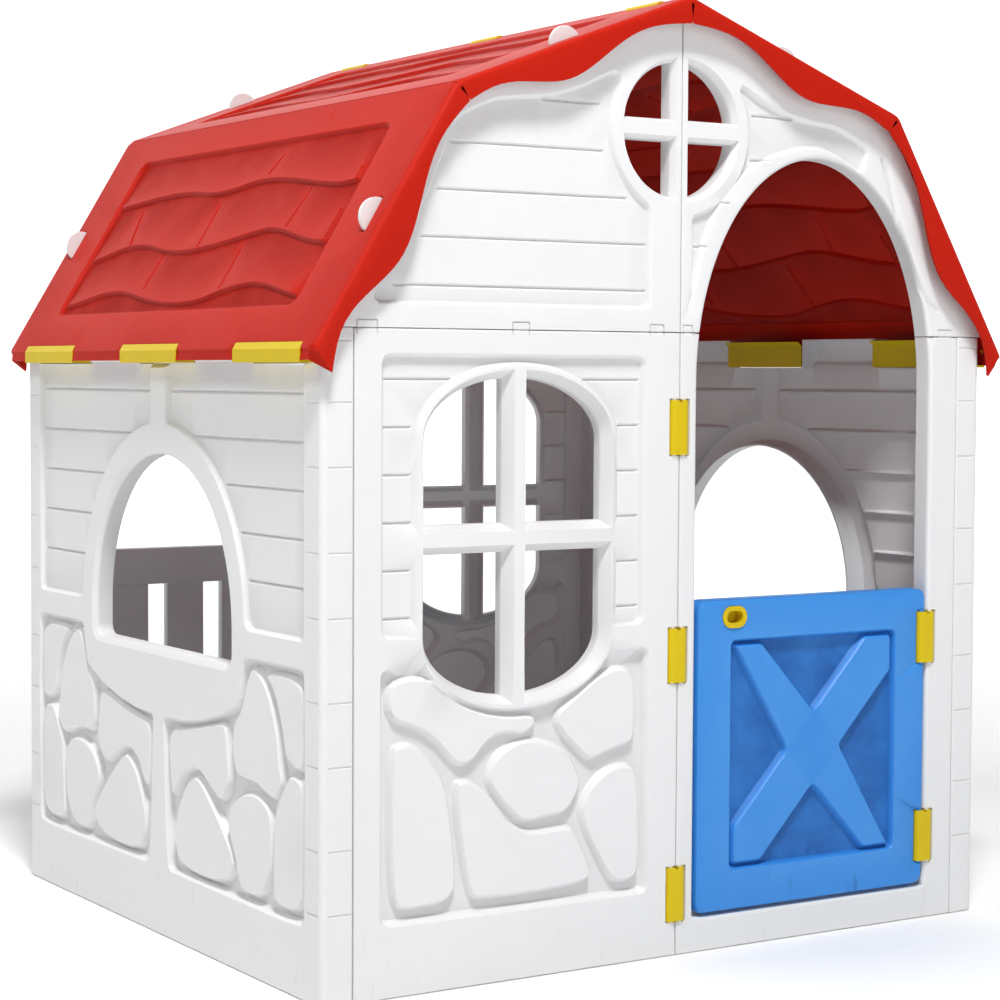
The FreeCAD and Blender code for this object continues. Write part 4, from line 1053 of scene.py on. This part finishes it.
def roof_mesh(lower):
    """One roof panel of the right half: shingled sheet, waved boards and the eave's lip."""
    inner = np.array(roof_line(SKIN))
    first = 0 if lower else 1
    start, end = ROOF_CORNERS[first], ROOF_CORNERS[first + 1]
    length = np.linalg.norm(end - start)
    along = (end - start) / length
    into = square_in(start, end)
    mitres = (inner[first:first + 2] - ROOF_CORNERS[first:first + 2]) / SKIN
    low_s, high_s = (0.0 if lower else 0.75), length - 0.75
    wave = through(LOWER_WAVE if lower else UPPER_WAVE)

    def on_slope(points, height):
        flat = start + np.outer(points[:, 1], along) - np.outer(height, into)
        return np.column_stack((flat[:, 0], points[:, 0], flat[:, 1]))

    def boards(points):
        share = points[:, 1] / length
        overrun = np.where(share < 0.12, 0.03 * (1 - share / 0.12), 0) if lower else 0 * share
        share = np.clip(share - overrun, -0.03, 1)
        depth = wave(share)[:, None]
        share = share[:, None]
        hung = (start + mitres[0] * depth) * (1 - share) + (end + mitres[1] * depth) * share
        flat = start + np.outer(points[:, 1], along) + into * (SKIN + 0.4)
        verge = np.abs(points[:, 0]) > VERGE_Y - 0.6
        flat[verge] = hung[verge]
        if lower:
            lip = (points[:, 1] < 0.6) & ~verge
            flat[lip] = start - (0, 12)
            flat[lip, 0] -= 0.2
        return np.column_stack((flat[:, 0], points[:, 0], flat[:, 1]))

    edge = [(-VERGE_Y, low_s), (VERGE_Y, low_s), (VERGE_Y, high_s)]
    if not lower:
        notch = high_s - NOTCH_HALF_WIDTH * length / KNEE_X
        for middle in RIDGE_LINK_STATIONS[::-1]:
            edge += [(middle + NOTCH_HALF_HEIGHT, high_s), (middle + NOTCH_HALF_HEIGHT, notch),
                     (middle - NOTCH_HALF_HEIGHT, notch), (middle - NOTCH_HALF_HEIGHT, high_s)]
    edge.append((-VERGE_Y, high_s))
    outline = []
    for here, there in zip(edge, edge[1:] + edge[:1]):
        count = max(1, int(math.dist(here, there) / 12))
        outline += [tuple(np.array(here) + (np.array(there) - here) * k / count) for k in range(count)]
    near, far = length / 2 - TAB_RADIUS - 1.5, length / 2 + TAB_RADIUS + 1.5
    slots = [rounded([(y - 4, near), (y + 4, near), (y + 4, far), (y - 4, far)], 3)
             for y in (-HALF_DEPTH + PANEL_DEPTH / 2, HALF_DEPTH - PANEL_DEPTH / 2)]
    top = 306 * length / LOWER_LENGTH
    field = rounded([(-FIELD_REACH, 60), (FIELD_REACH, 60), (FIELD_REACH, top), (-FIELD_REACH, top)], 14)
    marks = [Area(spaced(field, 9), -5.0, 7.0)]
    marks += [Course(spaced(soften(foot, 3, False), 9, False), 5.0, 62, FIELD_REACH - 4)
              for foot in COURSE_FEET]
    marks += [Groove(spaced(side, 9, False), 6.0, 2.6) for side in SHINGLE_SIDES]
    marks += [Roundover(np.array([(y, s) for s in np.linspace(low_s - 4, high_s + 4, 40)]), 7.0)
              for y in (-VERGE_Y, VERGE_Y)]
    if lower:
        lap = CLIP_LAP * length / (KNEE_Z - EAVE_Z)
        for low, high in CLIP_SPANS:
            marks.append(Area(spaced([(low[1] - SEAM, -9), (high[1] + SEAM, -9), (high[1] + SEAM, lap + SEAM),
                                      (low[1] - SEAM, lap + SEAM)], 12), -1.6, 1.0))
    mesh = moulding(Sheet(outline, slots, edge=1.5, marks=marks), on_slope, boards)
    if lower:
        return mesh
    rod_z, reach = RIDGE_Z - 7.5, NOTCH_HALF_HEIGHT + 5
    x = LINK_ROD_OFFSET
    rods = [rod((x, middle - reach, rod_z), (x, middle + reach, rod_z), LINK_ROD_RADIUS)
            for middle in RIDGE_LINK_STATIONS]
    return joined([mesh] + rods)


for level, mesh in (("lower", roof_mesh(True)), ("upper", roof_mesh(False))):
    for side, shape in (("right", mesh), ("left", mirrored(mesh))):
        node = "%s_%s_roof" % (side, level)
        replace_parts(new_piece(node + "_moulding", shape, "house", red_plastic), node)


# ------------------------------------------------------------------ half door
DOOR_LOW, DOOR_HIGH = np.array((30.5, 45.5)), np.array((398.5, 431.5))
DOOR_DEPTH, DOOR_MARGIN, DOOR_PROUD = 22.0, 52.0, 1.0
CUP_MIDDLE, CUP_HOLE = (85.5, 409.5), (14.5, 9.5)


def on_door(points, height):
    return on_front(points, height + DOOR_PROUD)


def behind_door(points):
    return on_door(points, np.full(len(points), -DOOR_DEPTH))


def cross_outline(half_wide, half_tall, level_end, upright_end):
    """A diagonal cross whose four ends are cut square to its frame."""
    quarter = [(-half_wide, half_tall), (-half_wide + level_end, half_tall),
               (0, half_tall - (half_wide - level_end) * half_tall / half_wide)]
    waist = half_wide - (half_tall - upright_end) * half_wide / half_tall
    points = quarter + [(half_wide - level_end, half_tall), (half_wide, half_tall),
                        (half_wide, half_tall - upright_end), (waist, 0)]
    return np.array(points + [(-x, -z) for x, z in points])


def door_sheet():
    """The half door's face, with its sunk panel, raised cross and finger hole."""
    (left, foot), (right, head) = DOOR_LOW, DOOR_HIGH
    shape = [tuple(p) for p in rounded([(left, foot), (right, foot), (right, head), (left, head)], 14)]
    notch = [(right if x == DOOR_JAMBS[1] else x, z)
             for x, z in notched_edge(DOOR_JAMBS[1], -1, LINK_STATIONS["jamb"])]
    turn = max(number for number, (x, z) in enumerate(shape) if z < foot + 60 and x > right - 1) + 1
    outline = shape[:turn] + notch + shape[turn:]
    (x, z), (half_wide, radius) = CUP_MIDDLE, CUP_HOLE
    hole = np.array(arc((x + half_wide - radius, z), (radius, radius), -90, 90, 10)
                    + arc((x - half_wide + radius, z), (radius, radius), 90, 270, 10))
    low, high = DOOR_LOW + DOOR_MARGIN, DOOR_HIGH - DOOR_MARGIN
    middle, half = (low + high) / 2, (high - low) / 2
    recess = rounded([tuple(low), (high[0], low[1]), tuple(high), (low[0], high[1])], 6)
    cross = cross_outline(half[0] - 5, half[1] - 5, 44, 46) + middle
    marks = [Area(spaced(recess, 6), -9.5, 5.0), Area(smooth(cross, 3, 5), 8.5, 6.5)]
    return Sheet(outline, [hole], edge=5.0, marks=marks)


door_mesh = joined([moulding(door_sheet(), on_door, behind_door)]
                   + fold_rods(-1, LINK_STATIONS["jamb"], DOOR_JAMBS[1]))
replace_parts(new_piece("front_door_moulding", door_mesh, "door", blue_plastic), "front_door")


# ------------------------------------------------------------------ picket fence
def fence_mesh():
    """Two rails between the back doorway's jambs and four pickets."""
    low, high = node_box("back_picket_fence")
    rail, picket, count = 52.0, 58.0, 4
    depth = high[1] - low[1]
    space = (high[0] - low[0] - count * picket) / (count + 1)
    parts = [block((low[0], low[1], z), (high[0], high[1], z + rail), 3.0) for z in (low[2], high[2] - rail)]
    for number in range(count):
        x = low[0] + space + number * (space + picket)
        parts.append(block((x, low[1] + 3, low[2] + rail / 2),
                           (x + picket, low[1] + depth - 3, high[2] - rail / 2), 2.5))
    return joined(parts)


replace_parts(new_piece("back_picket_fence_moulding", fence_mesh(), "house", white_plastic),
            "back_picket_fence")


# ------------------------------------------------------------------ yellow fittings
def finish_fitting(fitting):
    """Give a link, clip or cup its plastic and round its edges a little."""
    for number in range(len(fitting.material_slots)):
        fitting.material_slots[number].material = yellow_plastic
    fitting.data.polygons.foreach_set("use_smooth", [True] * len(fitting.data.polygons))
    soft = fitting.modifiers.new("rounded edges", "BEVEL")
    soft.width, soft.segments = 0.5 * MM, 2
    soft.limit_method, soft.angle_limit = "ANGLE", math.radians(40)
    soft.use_clamp_overlap = True
    normals = fitting.modifiers.new("normals", "WEIGHTED_NORMAL")
    normals.keep_sharp = True


for node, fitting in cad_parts.items():
    if "link" in node or "clip" in node or "cup" in node:
        finish_fitting(fitting)


# ------------------------------------------------------------------ camera, floor and light
CAMERA_PLACE = (-1.7598, -2.7897, 0.7065)
CAMERA_YAW, CAMERA_PITCH, CAMERA_ROLL = 0.5674, 0.0518, 0.0051


def look_from():
    """The camera at the house's near corner, a little above the gable's foot."""
    forward = Vector((math.sin(CAMERA_YAW) * math.cos(CAMERA_PITCH),
                      math.cos(CAMERA_YAW) * math.cos(CAMERA_PITCH), -math.sin(CAMERA_PITCH)))
    right = forward.cross(Vector((0, 0, 1))).normalized()
    up = right.cross(forward)
    right, up = (right * math.cos(CAMERA_ROLL) + up * math.sin(CAMERA_ROLL),
                 up * math.cos(CAMERA_ROLL) - right * math.sin(CAMERA_ROLL))
    turn = Matrix((right, up, -forward)).transposed()
    data = bpy.data.cameras.new("camera")
    data.lens, data.sensor_width = 87.63, 36
    data.clip_end = 50
    camera = bpy.data.objects.new("camera", data)
    camera.matrix_world = Matrix.Translation(CAMERA_PLACE) @ turn.to_4x4()
    bpy.context.scene.collection.objects.link(camera)
    bpy.context.scene.camera = camera


def soft_light(name, place, target, size, power):
    """A square area light aimed at a point."""
    data = bpy.data.lights.new(name, "AREA")
    data.shape, data.size, data.energy = "SQUARE", size, power
    lamp = bpy.data.objects.new(name, data)
    aim = (Vector(target) - Vector(place)).to_track_quat("-Z", "Y")
    lamp.matrix_world = Matrix.Translation(place) @ aim.to_matrix().to_4x4()
    bpy.context.scene.collection.objects.link(lamp)


def studio_sheet(name, segments, size, place, finish):
    """A flat sheet of the studio, which is no part of the house."""
    shaped = bmesh.new()
    bmesh.ops.create_grid(shaped, x_segments=segments, y_segments=segments, size=size)
    mesh = bpy.data.meshes.new(name)
    shaped.to_mesh(mesh)
    shaped.free()
    mesh.materials.append(finish.material)
    sheet = bpy.data.objects.new(name, mesh)
    sheet.matrix_world = place
    bpy.context.scene.collection.objects.link(sheet)


def pale_floor():
    """A wide pale floor with a faint mottle."""
    finish = Finish("pale_floor")
    finish.feed(finish.shader.inputs["Base Color"],
                finish.blend(finish.noise(2.0, 3.0), (0.90, 0.90, 0.90, 1), (0.93, 0.93, 0.93, 1)))
    finish.shader.inputs["Roughness"].default_value = 0.85
    away = finish.node("ShaderNodeVectorMath", {"operation": "LENGTH"},
                       {0: finish.node("ShaderNodeTexCoord", output="Object")}, output="Value")
    finish.feed(finish.shader.inputs["Emission Color"], finish.ramp(away * 0.1, (0.12, 0), (0.4, 1)))
    finish.shader.inputs["Emission Strength"].default_value = 0.5
    studio_sheet("floor", 8, 60, Matrix.Translation((0, 0, -0.0005)), finish)


def pale_backdrop():
    """A wide glowing sheet well behind the house."""
    finish = Finish("pale_backdrop")
    finish.shader.inputs["Emission Color"].default_value = (1, 1, 1, 1)
    finish.shader.inputs["Emission Strength"].default_value = 0.72
    finish.shader.inputs["Base Color"].default_value = (0.9, 0.9, 0.9, 1)
    upright = Matrix.Translation((0, 7, 4)) @ Matrix.Rotation(math.pi / 2, 4, "X")
    studio_sheet("backdrop", 2, 9, Matrix.Rotation(-CAMERA_YAW, 4, "Z") @ upright, finish)


look_from()
pale_floor()
pale_backdrop()
soft_light("key", (-1.3, -2.5, 4.9), (-0.1, -0.2, 0.5), 0.8, 225)
soft_light("front", (0.6, -5.0, 2.0), (0, 0, 0.5), 2.0, 30)
soft_light("side", (-3.4, 0.4, 4.0), (-0.3, 0, 0.5), 1.0, 55)
world = bpy.data.worlds.new("studio")
world.use_nodes = True
world.node_tree.nodes["Background"].inputs["Color"].default_value = (1, 1, 1, 1)
world.node_tree.nodes["Background"].inputs["Strength"].default_value = 0.11
bpy.context.scene.world = world
bpy.context.scene.view_settings.view_transform = "Standard"
